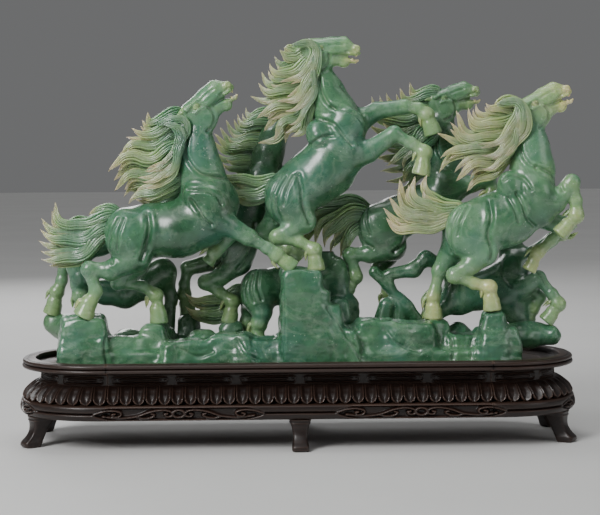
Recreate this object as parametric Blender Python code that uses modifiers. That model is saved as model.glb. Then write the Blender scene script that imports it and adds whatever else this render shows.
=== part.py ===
"""A carved jade group of horses over rocks, on a fitted hardwood stand.

Metres, +Z up, +X the way the horses run, -Y the front. The origin is on the floor under the
middle of the stand. Lengths below are in millimetres and are scaled by MM where they are used.
The stone lifts straight up off the stand. Its carved parts are separate solids, 0.3 mm apart.
"""

import math

import bmesh
import bpy
from mathutils import Vector

MM = 0.001
GAP = 0.3

# The stand: plan of the rim, heights of its layers, and how far each layer stands in or out.
RIM_HALF_LENGTH = 275.0
RIM_HALF_DEPTH = 84.0
RIM_CORNER_RADIUS = 80.0
RIM_TOP = 84.0
RIM_WIDTH = 14.0
PANEL_TOP = 78.0
PANEL_BOTTOM = 72.0
WAIST_BOTTOM = 62.0
PETAL_BOTTOM = 45.0
FRAME_BOTTOM = 30.0
RAIL_BACK = 32.0
WAIST_INSET = 19.0
FRAME_OVERHANG = 2.0
STRAIGHT_HALF = 185.0
CORNER_STEPS = 6

# The feet: where they stand round the plan, and their size.
CORNER_FOOT_ANGLE = 32.0
FOOT_WIDTH = 24.0
FOOT_FLICK = 8.0

# The battens under the panel.
BATTEN_POSITIONS = (-150.0, 0.0, 150.0)
BATTEN_WIDTH = 26.0
BATTEN_BOTTOM = 64.0

# The stone: its foot, and how finely its solids are meshed.
STONE_FOOT = PANEL_TOP + GAP
ROCK_VOXEL = 4.5
ROCK_TRIANGLES = 1500
HORSE_VOXEL = 2.6
HORSE_TRIANGLES = 900
PAD_HALF_WIDTH = 11.0
PAD_HEIGHT = 14.0

# Each rock is an upright cone: centre x and y, radius at the foot, radius at the top, top height.
ROCKS = (
    (-212, -32, 26, 21, 127),
    (-215, 2, 25, 21, 116),
    (-218, 34, 24, 19, 119),
    (-172, -18, 22, 16, 107),
    (-172, 24, 22, 18, 104),
    (-143, -18, 22, 15, 117),
    (-142, 28, 24, 18, 110),
    (-112, -24, 26, 22, 102),
    (-112, 46, 18, 13, 116),
    (-96, 12, 26, 20, 102),
    (-68, 26, 18, 13, 112),
    (-66, -26, 26, 21, 108),
    (-44, 20, 24, 18, 96),
    (-36, -28, 22, 16, 105),
    (4, -30, 25, 19, 169),
    (9, -27, 30, 20, 150),
    (24, -22, 35, 20, 134),
    (2, 20, 26, 20, 108),
    (36, -26, 24, 13, 139),
    (50, 22, 20, 11, 138),
    (74, -18, 25, 20, 119),
    (78, 30, 24, 18, 110),
    (98, 44, 20, 13, 118),
    (108, -16, 26, 21, 116),
    (124, 24, 24, 18, 109),
    (137, -12, 20, 13, 118),
    (160, -14, 20, 15, 104),
    (162, 20, 22, 18, 105),
    (191, -36, 22, 15, 129),
    (196, 2, 24, 19, 106),
)
# Rocks that lean out past the foot: points along a tapering limb, each with its radius.
LEANING_ROCKS = (
    ((-224, 38, 96, 16), (-240, 41, 108, 12), (-251, 42, 114, 10)),
    ((204, 4, 92, 14), (230, 6, 98, 12), (256, 6, 102, 10)),
)
ROCK_BED = (-236, 206, -54, 52, 90)
# The rocks are parted by upright cuts at these places along the stone.
ROCK_CUTS = {
    "rock_left_pillar": (-262, -189),
    "rock_left_bank": (-189, -20),
    "rock_centre_pillar": (-20, 41),
    "rock_right_bank": (41, 171),
    "rock_right_column": (171, 270),
}

# Where a hoof stands on a rock: x, y and the height of the flat that it stands on.
PADS = {
    "horse_front_left": ((-210, -46, 126), (-140, -16, 116), (-8, -38, 168)),
    "horse_centre": ((19, -24, 168),),
    "horse_front_right": ((190, -40, 128), (136, -10, 117)),
    "horse_back_right": ((50, 24, 137), (98, 50, 117)),
    "horse_back_left": ((-68, 26, 111), (-112, 50, 115)),
    "horse_far_left": ((-216, 24, 118), (-252, 42, 120)),
    "horse_low_left": ((-42, 12, 95), (-50, 36, 95)),
    "horse_low_right": ((259, 6, 109),),
}

# Each horse is a set of limbs: points (x, y, z, radius) along trunk, neck, head, legs and hair.
HORSES = {
    "horse_front_left": {
        "trunk": ((-165, -30, 213, 24), (-140, -30, 216, 26), (-116, -30, 220, 27), (-94, -30, 232, 26)),
        "neck": ((-92, -30, 246, 25), (-93, -30, 266, 22), (-98, -30, 286, 17), (-101, -30, 306, 13)),
        "head": ((-112, -30, 324, 10), (-98, -30, 331, 11), (-80, -30, 342, 8), (-68, -30, 345, 7)),
        "jaw": ((-92, -30, 316, 11), (-78, -30, 325, 6), (-66, -30, 333, 4.5)),
        "near hind leg": (
            (-168, -38, 204, 19), (-172, -44, 184, 13), (-202, -46, 175, 7.5),
            (-198, -46, 156, 5.5), (-204, -46, 142, 6), (-210, -46, 131, 8),
        ),
        "far hind leg": (
            (-160, -20, 202, 18), (-168, -16, 176, 11), (-180, -16, 161, 7.5),
            (-154, -16, 151, 5.5), (-139, -16, 140, 6), (-140, -16, 120, 8),
        ),
        "near foreleg": (
            (-80, -38, 228, 14), (-47, -40, 205, 8), (-22, -39, 190, 5.5),
            (-12, -38, 184, 6), (-8, -38, 172, 8),
        ),
        "far foreleg": ((-84, -18, 222, 12), (-62, -12, 208, 7), (-78, -10, 192, 5.5), (-86, -10, 184, 7)),
        "mane 1": ((-108, -30, 326, 8), (-128, -30, 323, 8), (-146, -30, 319, 4)),
        "mane 2": ((-110, -30, 310, 10), (-135, -30, 305, 9), (-158, -30, 306, 4)),
        "mane 3": ((-112, -30, 293, 11), (-140, -30, 288, 10), (-165, -30, 285, 8), (-186, -30, 284, 4)),
        "mane 4": ((-112, -30, 276, 11), (-140, -30, 269, 10), (-165, -30, 267, 8), (-187, -30, 267, 4)),
        "mane 5": ((-112, -30, 258, 10), (-140, -30, 252, 10), (-173, -30, 247, 4)),
        "tail 1": ((-180, -30, 224, 10), (-205, -30, 228, 10), (-228, -30, 231, 8), (-250, -30, 233, 4)),
        "tail 2": ((-182, -30, 218, 10), (-205, -30, 215, 11), (-230, -30, 213, 10), (-252, -30, 212, 4)),
        "tail 3": ((-200, -30, 210, 9), (-215, -30, 202, 10), (-232, -30, 197, 9), (-252, -30, 190, 4)),
        "tail 4": ((-206, -30, 204, 9), (-220, -30, 190, 9), (-232, -30, 181, 8), (-243, -30, 172, 4)),
    },
    "horse_centre": {
        "trunk": ((-12, -4, 248, 22), (8, -4, 258, 26), (28, -4, 272, 28), (42, -4, 290, 27)),
        "neck": ((42, -4, 306, 26), (38, -4, 324, 22), (32, -4, 342, 18), (26, -4, 360, 13)),
        "head": ((8, -4, 391, 10), (22, -4, 391, 12), (42, -4, 390, 9), (55, -4, 388, 7.5)),
        "jaw": ((26, -4, 376, 12), (40, -4, 373, 6), (53, -4, 371, 4.5)),
        "near hind leg": (
            (-8, -14, 234, 18), (2, -20, 220, 13), (-19, -22, 202, 7.5),
            (0, -23, 197, 5.5), (21, -24, 191, 6), (19, -24, 172, 8),
        ),
        "far hind leg": ((-14, 6, 236, 15), (-22, 12, 216, 10), (-36, 12, 204, 7), (-22, 12, 192, 5.5), (-6, 12, 186, 7)),
        "near foreleg": (
            (56, -12, 278, 13), (76, -16, 288, 9), (98, -16, 299, 7.5),
            (114, -16, 293, 5.5), (126, -16, 285, 6), (123, -16, 268, 8),
        ),
        "far foreleg": ((58, 2, 312, 12), (80, 2, 325, 8), (104, 2, 330, 6.5), (126, 2, 328, 6), (134, 2, 314, 8)),
        "mane 1": ((8, -4, 390, 8), (-6, -4, 388, 8), (-20, -4, 379, 4)),
        "mane 2": ((14, -4, 373, 11), (-8, -4, 369, 11), (-24, -4, 366, 9), (-37, -4, 361, 5)),
        "mane 3": ((14, -4, 356, 11), (-10, -4, 350, 11), (-30, -4, 346, 9), (-46, -4, 344, 4)),
        "mane 4": ((16, -4, 338, 10), (-8, -4, 332, 10), (-28, -4, 329, 9), (-45, -4, 329, 4)),
        "mane 5": ((16, -4, 322, 9), (-6, -4, 316, 9), (-26, -4, 312, 8), (-42, -4, 306, 4)),
        "mane 6": ((14, -4, 310, 8), (-2, -4, 302, 8), (-12, -4, 292, 4)),
        "tail 1": ((-24, 2, 256, 9), (-48, 6, 260, 9), (-68, 8, 262, 8), (-88, 10, 258, 4)),
        "tail 2": ((-24, 2, 250, 9), (-50, 6, 248, 9), (-70, 8, 246, 8), (-88, 10, 241, 4)),
    },
    "horse_front_right": {
        "trunk": ((168, -26, 212, 23), (186, -27, 216, 26), (206, -28, 222, 28), (226, -28, 234, 25)),
        "neck": ((231, -28, 250, 24), (230, -28, 268, 21), (229, -28, 288, 17), (228, -28, 306, 13)),
        "head": ((217, -28, 328, 10), (229, -28, 330, 11), (248, -28, 340, 9), (261, -28, 343, 7)),
        "jaw": ((240, -28, 317, 11), (254, -28, 324, 6), (266, -28, 330, 4.5)),
        "near hind leg": (
            (172, -34, 202, 18), (182, -40, 188, 12), (154, -41, 163, 7.5),
            (172, -40, 157, 5.5), (190, -40, 150, 6), (190, -40, 132, 8),
        ),
        "far hind leg": ((160, -14, 200, 17), (152, -10, 182, 10), (141, -10, 168, 7.5), (137, -10, 146, 5.5), (136, -10, 121, 8)),
        "near foreleg": (
            (244, -34, 232, 14), (260, -38, 246, 9), (271, -39, 253, 7),
            (275, -39, 236, 5.5), (276, -39, 221, 6), (264, -39, 207, 8),
        ),
        "far foreleg": ((236, -16, 222, 12), (254, -14, 214, 7.5), (242, -13, 200, 5.5), (230, -13, 190, 7)),
        "mane 1": ((213, -28, 326, 8), (202, -28, 329, 7), (191, -28, 326, 4)),
        "mane 2": ((212, -28, 312, 10), (192, -28, 310, 9), (172, -28, 307, 8), (154, -28, 312, 4)),
        "mane 3": ((212, -28, 298, 11), (190, -28, 294, 10), (166, -28, 292, 9), (143, -28, 298, 4)),
        "mane 4": ((210, -28, 282, 11), (188, -28, 277, 10), (164, -28, 276, 9), (139, -28, 280, 4)),
        "mane 5": ((208, -28, 268, 10), (186, -28, 263, 9), (164, -28, 262, 8), (140, -28, 266, 4)),
        "mane 6": ((204, -28, 258, 8), (184, -28, 251, 8), (160, -28, 248, 4)),
        "tail 1": ((156, -26, 228, 9), (138, -26, 238, 9), (118, -26, 248, 8), (103, -26, 262, 4)),
        "tail 2": ((156, -26, 222, 10), (136, -26, 226, 10), (114, -26, 228, 9), (82, -26, 222, 4)),
        "tail 3": ((156, -26, 214, 9), (138, -26, 212, 9), (118, -26, 212, 8), (98, -26, 208, 4)),
    },
    "horse_back_right": {
        "trunk": ((84, 36, 211, 22), (106, 36, 219, 21), (130, 36, 229, 21), (148, 36, 242, 20)),
        "neck": ((150, 36, 258, 18), (151, 36, 276, 16), (150, 36, 298, 14), (148, 36, 316, 12)),
        "head": ((148, 36, 337, 10), (162, 36, 343, 10), (176, 36, 346, 8), (182, 36, 344, 7)),
        "jaw": ((156, 36, 328, 10), (170, 36, 330, 6), (181, 36, 333, 4.5)),
        "near hind leg": (
            (92, 30, 206, 16), (102, 26, 194, 11), (54, 24, 180, 7.5),
            (58, 24, 166, 5.5), (60, 24, 155, 6), (50, 24, 141, 8),
        ),
        "far hind leg": ((84, 44, 200, 15), (96, 49, 180, 10), (86, 50, 164, 7.5), (94, 50, 146, 5.5), (98, 50, 121, 8)),
        "near foreleg": ((158, 30, 246, 12), (178, 26, 252, 8), (196, 26, 257, 7), (200, 26, 246, 5.5), (197, 26, 238, 6)),
        "far foreleg": ((156, 44, 246, 12), (176, 50, 252, 8), (196, 50, 255, 7), (202, 50, 246, 5.5), (200, 50, 240, 6)),
        "mane 1": ((138, 36, 334, 9), (120, 36, 342, 7), (110, 36, 348, 4)),
        "mane 2": ((138, 36, 326, 9), (112, 36, 332, 9), (90, 36, 338, 7), (73, 36, 339, 4)),
        "mane 3": ((140, 36, 312, 10), (112, 36, 315, 9), (86, 36, 321, 4)),
        "mane 4": ((140, 36, 295, 10), (112, 36, 294, 9), (82, 36, 298, 4)),
        "mane 5": ((140, 36, 279, 10), (116, 36, 274, 10), (96, 36, 267, 8), (79, 36, 258, 4)),
        "tail 1": ((66, 36, 220, 9), (46, 36, 220, 9), (30, 36, 215, 8), (20, 36, 205, 4)),
        "tail 2": ((66, 36, 212, 9), (49, 36, 206, 9), (38, 36, 196, 8), (32, 36, 182, 4)),
    },
    "horse_back_left": {
        "trunk": ((-60, 38, 198, 20), (-54, 38, 214, 21), (-46, 38, 234, 20), (-37, 38, 254, 18)),
        "neck": ((-33, 38, 266, 17), (-28, 38, 286, 15), (-20, 38, 304, 13), (-12, 38, 318, 11)),
        "head": ((-6, 40, 328, 9), (8, 40, 326, 10), (26, 40, 318, 8), (39, 40, 312, 6.5)),
        "jaw": ((6, 40, 314, 10), (20, 40, 307, 6), (32, 40, 301, 4.5)),
        "near hind leg": (
            (-62, 30, 188, 16), (-64, 27, 176, 12), (-93, 26, 152, 7.5),
            (-78, 26, 142, 5.5), (-64, 26, 132, 6), (-68, 26, 115, 8),
        ),
        "far hind leg": (
            (-64, 46, 190, 15), (-84, 50, 172, 9), (-112, 50, 165, 7.5),
            (-116, 50, 150, 5.5), (-115, 50, 136, 6), (-112, 50, 119, 8),
        ),
        "near foreleg": ((-26, 32, 252, 11), (-4, 36, 250, 8), (13, 36, 252, 7), (10, 36, 236, 5.5), (4, 36, 226, 7)),
        "far foreleg": ((-26, 46, 258, 11), (0, 52, 264, 8), (20, 52, 271, 7), (34, 52, 258, 5.5), (36, 52, 247, 7)),
        "mane 1": ((-20, 38, 318, 9), (-38, 38, 322, 8), (-53, 38, 327, 4)),
        "mane 2": ((-26, 38, 306, 10), (-44, 38, 308, 9), (-69, 38, 316, 4)),
        "mane 3": ((-30, 38, 292, 10), (-50, 38, 294, 9), (-66, 38, 299, 7), (-79, 38, 306, 4)),
        "mane 4": ((-32, 38, 278, 10), (-52, 38, 279, 9), (-72, 38, 285, 8), (-89, 38, 295, 4)),
        "mane 5": ((-36, 38, 266, 9), (-56, 38, 264, 9), (-74, 38, 266, 7), (-88, 38, 272, 4)),
        "tail": ((-70, 38, 202, 9), (-88, 38, 199, 8), (-101, 38, 187, 4)),
    },
    "horse_far_left": {
        "trunk": ((-198, 34, 208, 18), (-176, 34, 209, 19), (-152, 34, 211, 19), (-134, 34, 220, 17)),
        "belly": ((-218, 28, 150, 8), (-196, 36, 144, 11), (-176, 38, 142, 13), (-156, 38, 152, 14), (-144, 38, 160, 12)),
        "neck": ((-128, 34, 234, 15), (-121, 34, 256, 13), (-118, 36, 278, 12), (-115, 38, 298, 11)),
        "head": ((-112, 38, 313, 9), (-102, 38, 317, 10), (-88, 38, 325, 7.5), (-78, 38, 327, 6)),
        "jaw": ((-103, 38, 306, 9), (-94, 38, 312, 6), (-87, 38, 318, 4.5)),
        "near hind leg": (
            (-206, 28, 198, 14), (-221, 24, 182, 9), (-227, 24, 162, 8),
            (-220, 24, 148, 6), (-218, 24, 138, 6), (-216, 24, 122, 8),
        ),
        "far hind leg": (
            (-206, 40, 200, 13), (-224, 44, 188, 10), (-238, 43, 176, 7.5),
            (-241, 42, 154, 5.5), (-248, 42, 139, 6), (-252, 42, 124, 8),
        ),
        "near foreleg": ((-128, 28, 214, 12), (-110, 22, 215, 8), (-95, 22, 222, 7), (-93, 22, 206, 7)),
        "far foreleg": ((-128, 42, 218, 12), (-108, 50, 226, 8), (-94, 50, 234, 7), (-92, 50, 220, 7)),
        "mane 1": ((-122, 38, 300, 9), (-142, 40, 298, 8), (-158, 40, 293, 4)),
        "mane 2": ((-126, 36, 278, 9), (-146, 38, 275, 9), (-166, 40, 271, 4)),
        "mane 3": ((-128, 36, 258, 9), (-148, 38, 253, 8), (-168, 38, 249, 4)),
        "tail": ((-210, 36, 214, 9), (-228, 38, 218, 8), (-244, 40, 213, 4)),
    },
    "horse_low_left": {
        "trunk": ((-38, 22, 148, 18), (-18, 25, 150, 18), (2, 27, 151, 17), (15, 30, 150, 15)),
        "neck": ((18, 36, 150, 13), (25, 44, 143, 11), (30, 49, 137, 9)),
        "head": ((30, 50, 136, 9), (39, 52, 128, 8.5), (48, 54, 117, 6.5)),
        "near hind leg": ((-39, 15, 138, 14), (-37, 12, 124, 9), (-38, 12, 112, 6.5), (-42, 12, 99, 8)),
        "far hind leg": ((-44, 30, 138, 14), (-50, 35, 124, 8), (-50, 36, 112, 6.5), (-50, 36, 99, 8)),
        "near foreleg": ((8, 20, 142, 9), (14, 16, 132, 6.5), (8, 14, 122, 6.5)),
        "far foreleg": ((6, 38, 142, 9), (2, 42, 132, 6.5), (-4, 42, 122, 6.5)),
        "tail": ((-52, 34, 152, 9), (-74, 40, 141, 8.5), (-92, 40, 131, 7), (-104, 36, 127, 4)),
    },
    "horse_low_right": {
        "trunk": ((166, 24, 138, 17), (186, 24, 143, 18), (206, 24, 151, 18), (220, 24, 164, 17)),
        "chest": ((206, 22, 148, 16), (214, 20, 135, 14), (224, 18, 126, 11)),
        "neck": ((221, 27, 180, 14), (215, 32, 196, 12), (206, 36, 210, 11)),
        "head": ((200, 38, 221, 9), (189, 40, 221, 9.5), (174, 42, 216, 7.5), (163, 42, 212, 6)),
        "jaw": ((196, 39, 209, 9), (184, 40, 206, 6), (172, 41, 202, 4.5)),
        "near foreleg": (
            (208, 14, 142, 12), (224, 9, 147, 9), (243, 6, 157, 7),
            (257, 6, 142, 5.5), (265, 6, 130, 6), (256, 6, 116, 8),
        ),
        "far foreleg": ((226, 28, 170, 11), (240, 18, 181, 7), (257, 8, 196, 6), (270, 0, 206, 6)),
        "near hind leg": ((158, 16, 134, 12), (148, 12, 127, 8)),
        "far hind leg": ((158, 34, 134, 12), (148, 38, 127, 8)),
        "mane": ((221, 34, 198, 8), (223, 38, 214, 7), (217, 42, 228, 4)),
        "tail": ((150, 28, 146, 8), (134, 30, 141, 7), (122, 32, 132, 4)),
    },
}

# A limb's end is rounded off by these steps: how far past the end, and how much of the radius.
END_STEPS = ((0.5, 0.87), (0.87, 0.5), (1.0, 0.1))


def clear_scene():
    for thing in list(bpy.data.objects):
        bpy.data.objects.remove(thing, do_unlink=True)


def new_collection(name):
    collection = bpy.data.collections.new(name)
    bpy.context.scene.collection.children.link(collection)
    return collection


def new_material(name, colour, roughness, metallic=0.0):
    material = bpy.data.materials.new(name)
    material.use_nodes = True
    shader = material.node_tree.nodes["Principled BSDF"]
    shader.inputs["Base Color"].default_value = (*colour, 1.0)
    shader.inputs["Roughness"].default_value = roughness
    shader.inputs["Metallic"].default_value = metallic
    return material


clear_scene()
FIGURINE = new_collection("jade_horse_group")
HELPERS = new_collection("cutters")
ROSEWOOD = new_material("rosewood", (0.035, 0.016, 0.011), 0.32)
JADE = new_material("jade", (0.22, 0.36, 0.24), 0.12)


def add_mesh(name, mesh, material):
    """A named object of the figurine, smooth apart from its sharp edges."""
    thing = bpy.data.objects.new(name, mesh)
    FIGURINE.objects.link(thing)
    mesh.materials.clear()
    mesh.materials.append(material)
    mesh.shade_smooth()
    mesh.set_sharp_from_angle(angle=math.radians(35))
    return thing


def add_helper(name, data):
    helper = bpy.data.objects.new(name, data)
    HELPERS.objects.link(helper)
    helper.hide_render = True
    helper.display_type = "WIRE"
    return helper


def mesh_of(helper):
    """The helper's evaluated shape as a new mesh, its loose caps welded."""
    graph = bpy.context.evaluated_depsgraph_get()
    mesh = bpy.data.meshes.new_from_object(helper.evaluated_get(graph))
    shape = bmesh.new()
    shape.from_mesh(mesh)
    bmesh.ops.remove_doubles(shape, verts=shape.verts, dist=1e-6)
    bmesh.ops.recalc_face_normals(shape, faces=shape.faces)
    shape.to_mesh(mesh)
    shape.free()
    return mesh


def corner_points(centre, radius, start, end):
    """Points along an arc in plan, from one angle to another, in degrees."""
    points = []
    for step in range(CORNER_STEPS + 1):
        angle = math.radians(start + (end - start) * step / CORNER_STEPS)
        points.append((centre[0] + radius * math.cos(angle), centre[1] + radius * math.sin(angle)))
    return points


def corner_centre():
    return RIM_HALF_LENGTH - RIM_CORNER_RADIUS, RIM_HALF_DEPTH - RIM_CORNER_RADIUS


def rail_route(part, inset):
    """The plan of one rail, this far inside the rim's outline, run with the outside on its right."""
    along, across = corner_centre()
    radius = RIM_CORNER_RADIUS - inset
    depth = RIM_HALF_DEPTH - inset
    straight = STRAIGHT_HALF - GAP / 2
    start = STRAIGHT_HALF + GAP / 2
    if part == "front":
        return [(-straight, -depth), (straight, -depth)]
    if part == "back":
        return [(straight, depth), (-straight, depth)]
    route = [(start, -depth)]
    route += corner_points((along, -across), radius, -90, 0)
    route += corner_points((along, across), radius, 0, 90)
    route += [(start, depth)]
    if part == "right":
        return route
    return [(-x, -y) for x, y in route]


def poly_curve(name, points, radii=None, closed=False):
    """A curve object's data with one POLY spline through the points."""
    curve = bpy.data.curves.new(name, "CURVE")
    curve.dimensions = "3D"
    add_spline(curve, points, radii, closed)
    return curve


def add_spline(curve, points, radii=None, closed=False):
    spline = curve.splines.new("POLY")
    spline.points.add(len(points) - 1)
    for index, point in enumerate(points):
        spline.points[index].co = (*[value * MM for value in point], 1.0)
        spline.points[index].radius = radii[index] if radii else 1.0
    spline.use_cyclic_u = closed


def swept_rail(name, profile, part, material):
    """A moulding: its profile (distance out from the rim's outline, height) swept round the plan."""
    section = poly_curve(f"{name}_profile", [(out + RAIL_BACK, height, 0) for out, height in profile], closed=True)
    section.dimensions = "2D"
    section_helper = add_helper(f"{name}_profile", section)
    route = poly_curve(f"{name}_route", [(x, y, 0) for x, y in rail_route(part, RAIL_BACK)])
    route.twist_mode = "Z_UP"
    route.bevel_mode = "OBJECT"
    route.bevel_object = section_helper
    route.use_fill_caps = True
    route_helper = add_helper(f"{name}_route", route)
    bpy.context.view_layer.update()
    rail = add_mesh(name, mesh_of(route_helper), material)
    bpy.data.objects.remove(route_helper)
    bpy.data.objects.remove(section_helper)
    return rail


def rim_profile():
    """Two beads with a groove between them, and a slanting underside down to the waist."""
    top = RIM_TOP
    return [
        (-RIM_WIDTH, top),
        (-3, top),
        (-0.7, top - 1.2),
        (-0.7, top - 4),
        (-2.2, top - 5),
        (0, top - 6.2),
        (0, top - 8.4),
        (-3, top - 10),
        (-RIM_WIDTH, PANEL_BOTTOM + 0.2),
    ]


def waist_profile():
    top = PANEL_BOTTOM - GAP
    bottom = WAIST_BOTTOM + GAP / 2
    return [(-RAIL_BACK, top), (-WAIST_INSET, top), (-WAIST_INSET, bottom), (-RAIL_BACK, bottom)]


def petal_profile():
    """The swelling that the petals are carved from, full near its foot."""
    top = WAIST_BOTTOM - GAP / 2
    bottom = PETAL_BOTTOM + GAP / 2
    return [
        (-RAIL_BACK, top),
        (-16.5, top),
        (-9, top - 2),
        (-3.5, top - 5.5),
        (-1, top - 10),
        (-1.5, bottom),
        (-RAIL_BACK, bottom),
    ]


def frame_profile():
    """The rounded lower frame."""
    top = PETAL_BOTTOM - GAP / 2
    bottom = FRAME_BOTTOM + GAP / 2
    return [
        (-RAIL_BACK, top),
        (-1.5, top),
        (FRAME_OVERHANG - 0.5, top - 2.5),
        (FRAME_OVERHANG, top - 6),
        (FRAME_OVERHANG - 0.8, top - 10),
        (-3, bottom),
        (-RAIL_BACK, bottom),
    ]


def make_mouldings():
    layers = {
        "rim": rim_profile(),
        "waist": waist_profile(),
        "petal_band": petal_profile(),
        "lower_frame": frame_profile(),
    }
    for layer, profile in layers.items():
        for part in ("front", "back", "left", "right"):
            swept_rail(f"{layer}_{part}", profile, part, ROSEWOOD)


def make_panel():
    """The flat board inside the rim that the stone stands on."""
    inset = RIM_WIDTH + GAP
    along, across = corner_centre()
    radius = RIM_CORNER_RADIUS - inset
    outline = []
    for sign_x, sign_y, start in ((1, -1, -90), (1, 1, 0), (-1, 1, 90), (-1, -1, 180)):
        outline += corner_points((sign_x * along, sign_y * across), radius, start, start + 90)
    middle = (PANEL_TOP + PANEL_BOTTOM) / 2
    curve = poly_curve("panel_outline", [(x, y, 0) for x, y in outline], closed=True)
    curve.dimensions = "2D"
    curve.fill_mode = "BOTH"
    curve.extrude = (PANEL_TOP - PANEL_BOTTOM) / 2 * MM
    helper = add_helper("panel_outline", curve)
    helper.location.z = middle * MM
    bpy.context.view_layer.update()
    mesh = mesh_of(helper)
    mesh.transform(helper.matrix_world)
    add_mesh("top_panel", mesh, ROSEWOOD)
    bpy.data.objects.remove(helper)


def add_box(name, low, high, material):
    shape = bmesh.new()
    bmesh.ops.create_cube(shape, size=1.0)
    for vertex in shape.verts:
        for axis in range(3):
            end = high[axis] if vertex.co[axis] > 0 else low[axis]
            vertex.co[axis] = end * MM
    mesh = bpy.data.meshes.new(name)
    shape.to_mesh(mesh)
    shape.free()
    return add_mesh(name, mesh, material)


def make_battens():
    """Cross battens between the waist rails, under the panel."""
    reach = RIM_HALF_DEPTH - RAIL_BACK - GAP
    for number, place in enumerate(BATTEN_POSITIONS, start=1):
        low = (place - BATTEN_WIDTH / 2, -reach, BATTEN_BOTTOM)
        high = (place + BATTEN_WIDTH / 2, reach, PANEL_BOTTOM - GAP)
        batten = add_box(f"batten_{number}", low, high, ROSEWOOD)
        edge = batten.modifiers.new("edge", "BEVEL")
        edge.width = 1.5 * MM


def make_foot(name, place, turn):
    """A bracket foot: square shoulder under the frame, a waist, and a toe that flicks outwards.

    The side outline is (distance out, height) and is extruded to the foot's width.
    """
    top = FRAME_BOTTOM - GAP / 2
    outline = [
        (-26, top),
        (-1, top),
        (-2, top - 8),
        (-1.5, top - 15),
        (2, top - 21),
        (FOOT_FLICK, 5.5),
        (FOOT_FLICK, 1.5),
        (FOOT_FLICK - 3, 0),
        (-8, 0),
        (-12, 8),
        (-17, 18),
    ]
    curve = poly_curve(f"{name}_side", [(out, height, 0) for out, height in outline], closed=True)
    curve.dimensions = "2D"
    curve.fill_mode = "BOTH"
    curve.extrude = FOOT_WIDTH / 2 * MM
    helper = add_helper(f"{name}_side", curve)
    bpy.context.view_layer.update()
    mesh = mesh_of(helper)
    bpy.data.objects.remove(helper)
    shape = bmesh.new()
    shape.from_mesh(mesh)
    for vertex in shape.verts:
        out, height, across = vertex.co
        # The foot narrows from its shoulder to its ankle and widens again at the toe.
        share = min(max(height / (top * MM), 0.0), 1.0)
        width = 0.72 + 0.5 * (share - 0.35) ** 2
        vertex.co = (out, across * width, height)
    bmesh.ops.recalc_face_normals(shape, faces=shape.faces)
    shape.to_mesh(mesh)
    shape.free()
    foot = add_mesh(name, mesh, ROSEWOOD)
    foot.location = (place[0] * MM, place[1] * MM, 0)
    foot.rotation_euler.z = math.radians(turn)
    edge = foot.modifiers.new("edge", "BEVEL")
    edge.width = 1.2 * MM
    edge.segments = 1
    edge.limit_method = "ANGLE"


def make_feet():
    along, across = corner_centre()
    sides = {"right": 1, "left": -1}
    for side, sign_x in sides.items():
        for face, sign_y in (("front", -1), ("back", 1)):
            angle = math.radians(CORNER_FOOT_ANGLE)
            place = (
                sign_x * (along + RIM_CORNER_RADIUS * math.cos(angle)),
                sign_y * (across + RIM_CORNER_RADIUS * math.sin(angle)),
            )
            turn = math.degrees(math.atan2(sign_y * math.sin(angle), sign_x * math.cos(angle)))
            make_foot(f"foot_{face}_{side}", place, turn)
    make_foot("foot_front_middle", (0, -RIM_HALF_DEPTH), -90)
    make_foot("foot_back_middle", (0, RIM_HALF_DEPTH), 90)


def rounded_limb(points):
    """The limb's points with its two ends rounded off."""
    first, second = Vector(points[0][:3]), Vector(points[1][:3])
    last, before = Vector(points[-1][:3]), Vector(points[-2][:3])
    start_way = (first - second).normalized()
    end_way = (last - before).normalized()
    start = [(*(first + start_way * points[0][3] * far), points[0][3] * share) for far, share in END_STEPS]
    end = [(*(last + end_way * points[-1][3] * far), points[-1][3] * share) for far, share in END_STEPS]
    return list(reversed(start)) + list(points) + end


def limb_mesh(name, limbs):
    """All limbs as round tubes of varying radius, in one mesh."""
    curve = bpy.data.curves.new(name, "CURVE")
    curve.dimensions = "3D"
    curve.bevel_depth = MM
    curve.bevel_resolution = 2
    curve.use_fill_caps = True
    for limb in limbs:
        points = rounded_limb(limb)
        add_spline(curve, [point[:3] for point in points], [point[3] for point in points])
    helper = add_helper(name, curve)
    bpy.context.view_layer.update()
    mesh = mesh_of(helper)
    bpy.data.objects.remove(helper)
    return mesh


def fuse(thing, voxel, triangles):
    """Fuses overlapping shapes into one skin and thins it to about this many triangles."""
    remesh = thing.modifiers.new("fuse", "REMESH")
    remesh.mode = "VOXEL"
    remesh.voxel_size = voxel * MM
    bpy.context.view_layer.update()
    graph = bpy.context.evaluated_depsgraph_get()
    quads = len(thing.evaluated_get(graph).data.polygons)
    thin = thing.modifiers.new("thin", "DECIMATE")
    thin.ratio = min(1.0, triangles / (2.0 * quads))


def boxes_mesh(name, boxes):
    """One mesh that holds several closed boxes, each (low corner, high corner)."""
    shape = bmesh.new()
    for low, high in boxes:
        made = bmesh.ops.create_cube(shape, size=1.0)
        for vertex in made["verts"]:
            for axis in range(3):
                end = high[axis] if vertex.co[axis] > 0 else low[axis]
                vertex.co[axis] = end * MM
    mesh = bpy.data.meshes.new(name)
    shape.to_mesh(mesh)
    shape.free()
    return mesh


def cut(thing, name, boxes, operation="DIFFERENCE"):
    cutter = add_helper(name, boxes_mesh(name, boxes))
    modifier = thing.modifiers.new(name, "BOOLEAN")
    modifier.operation = operation
    modifier.object = cutter


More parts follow.
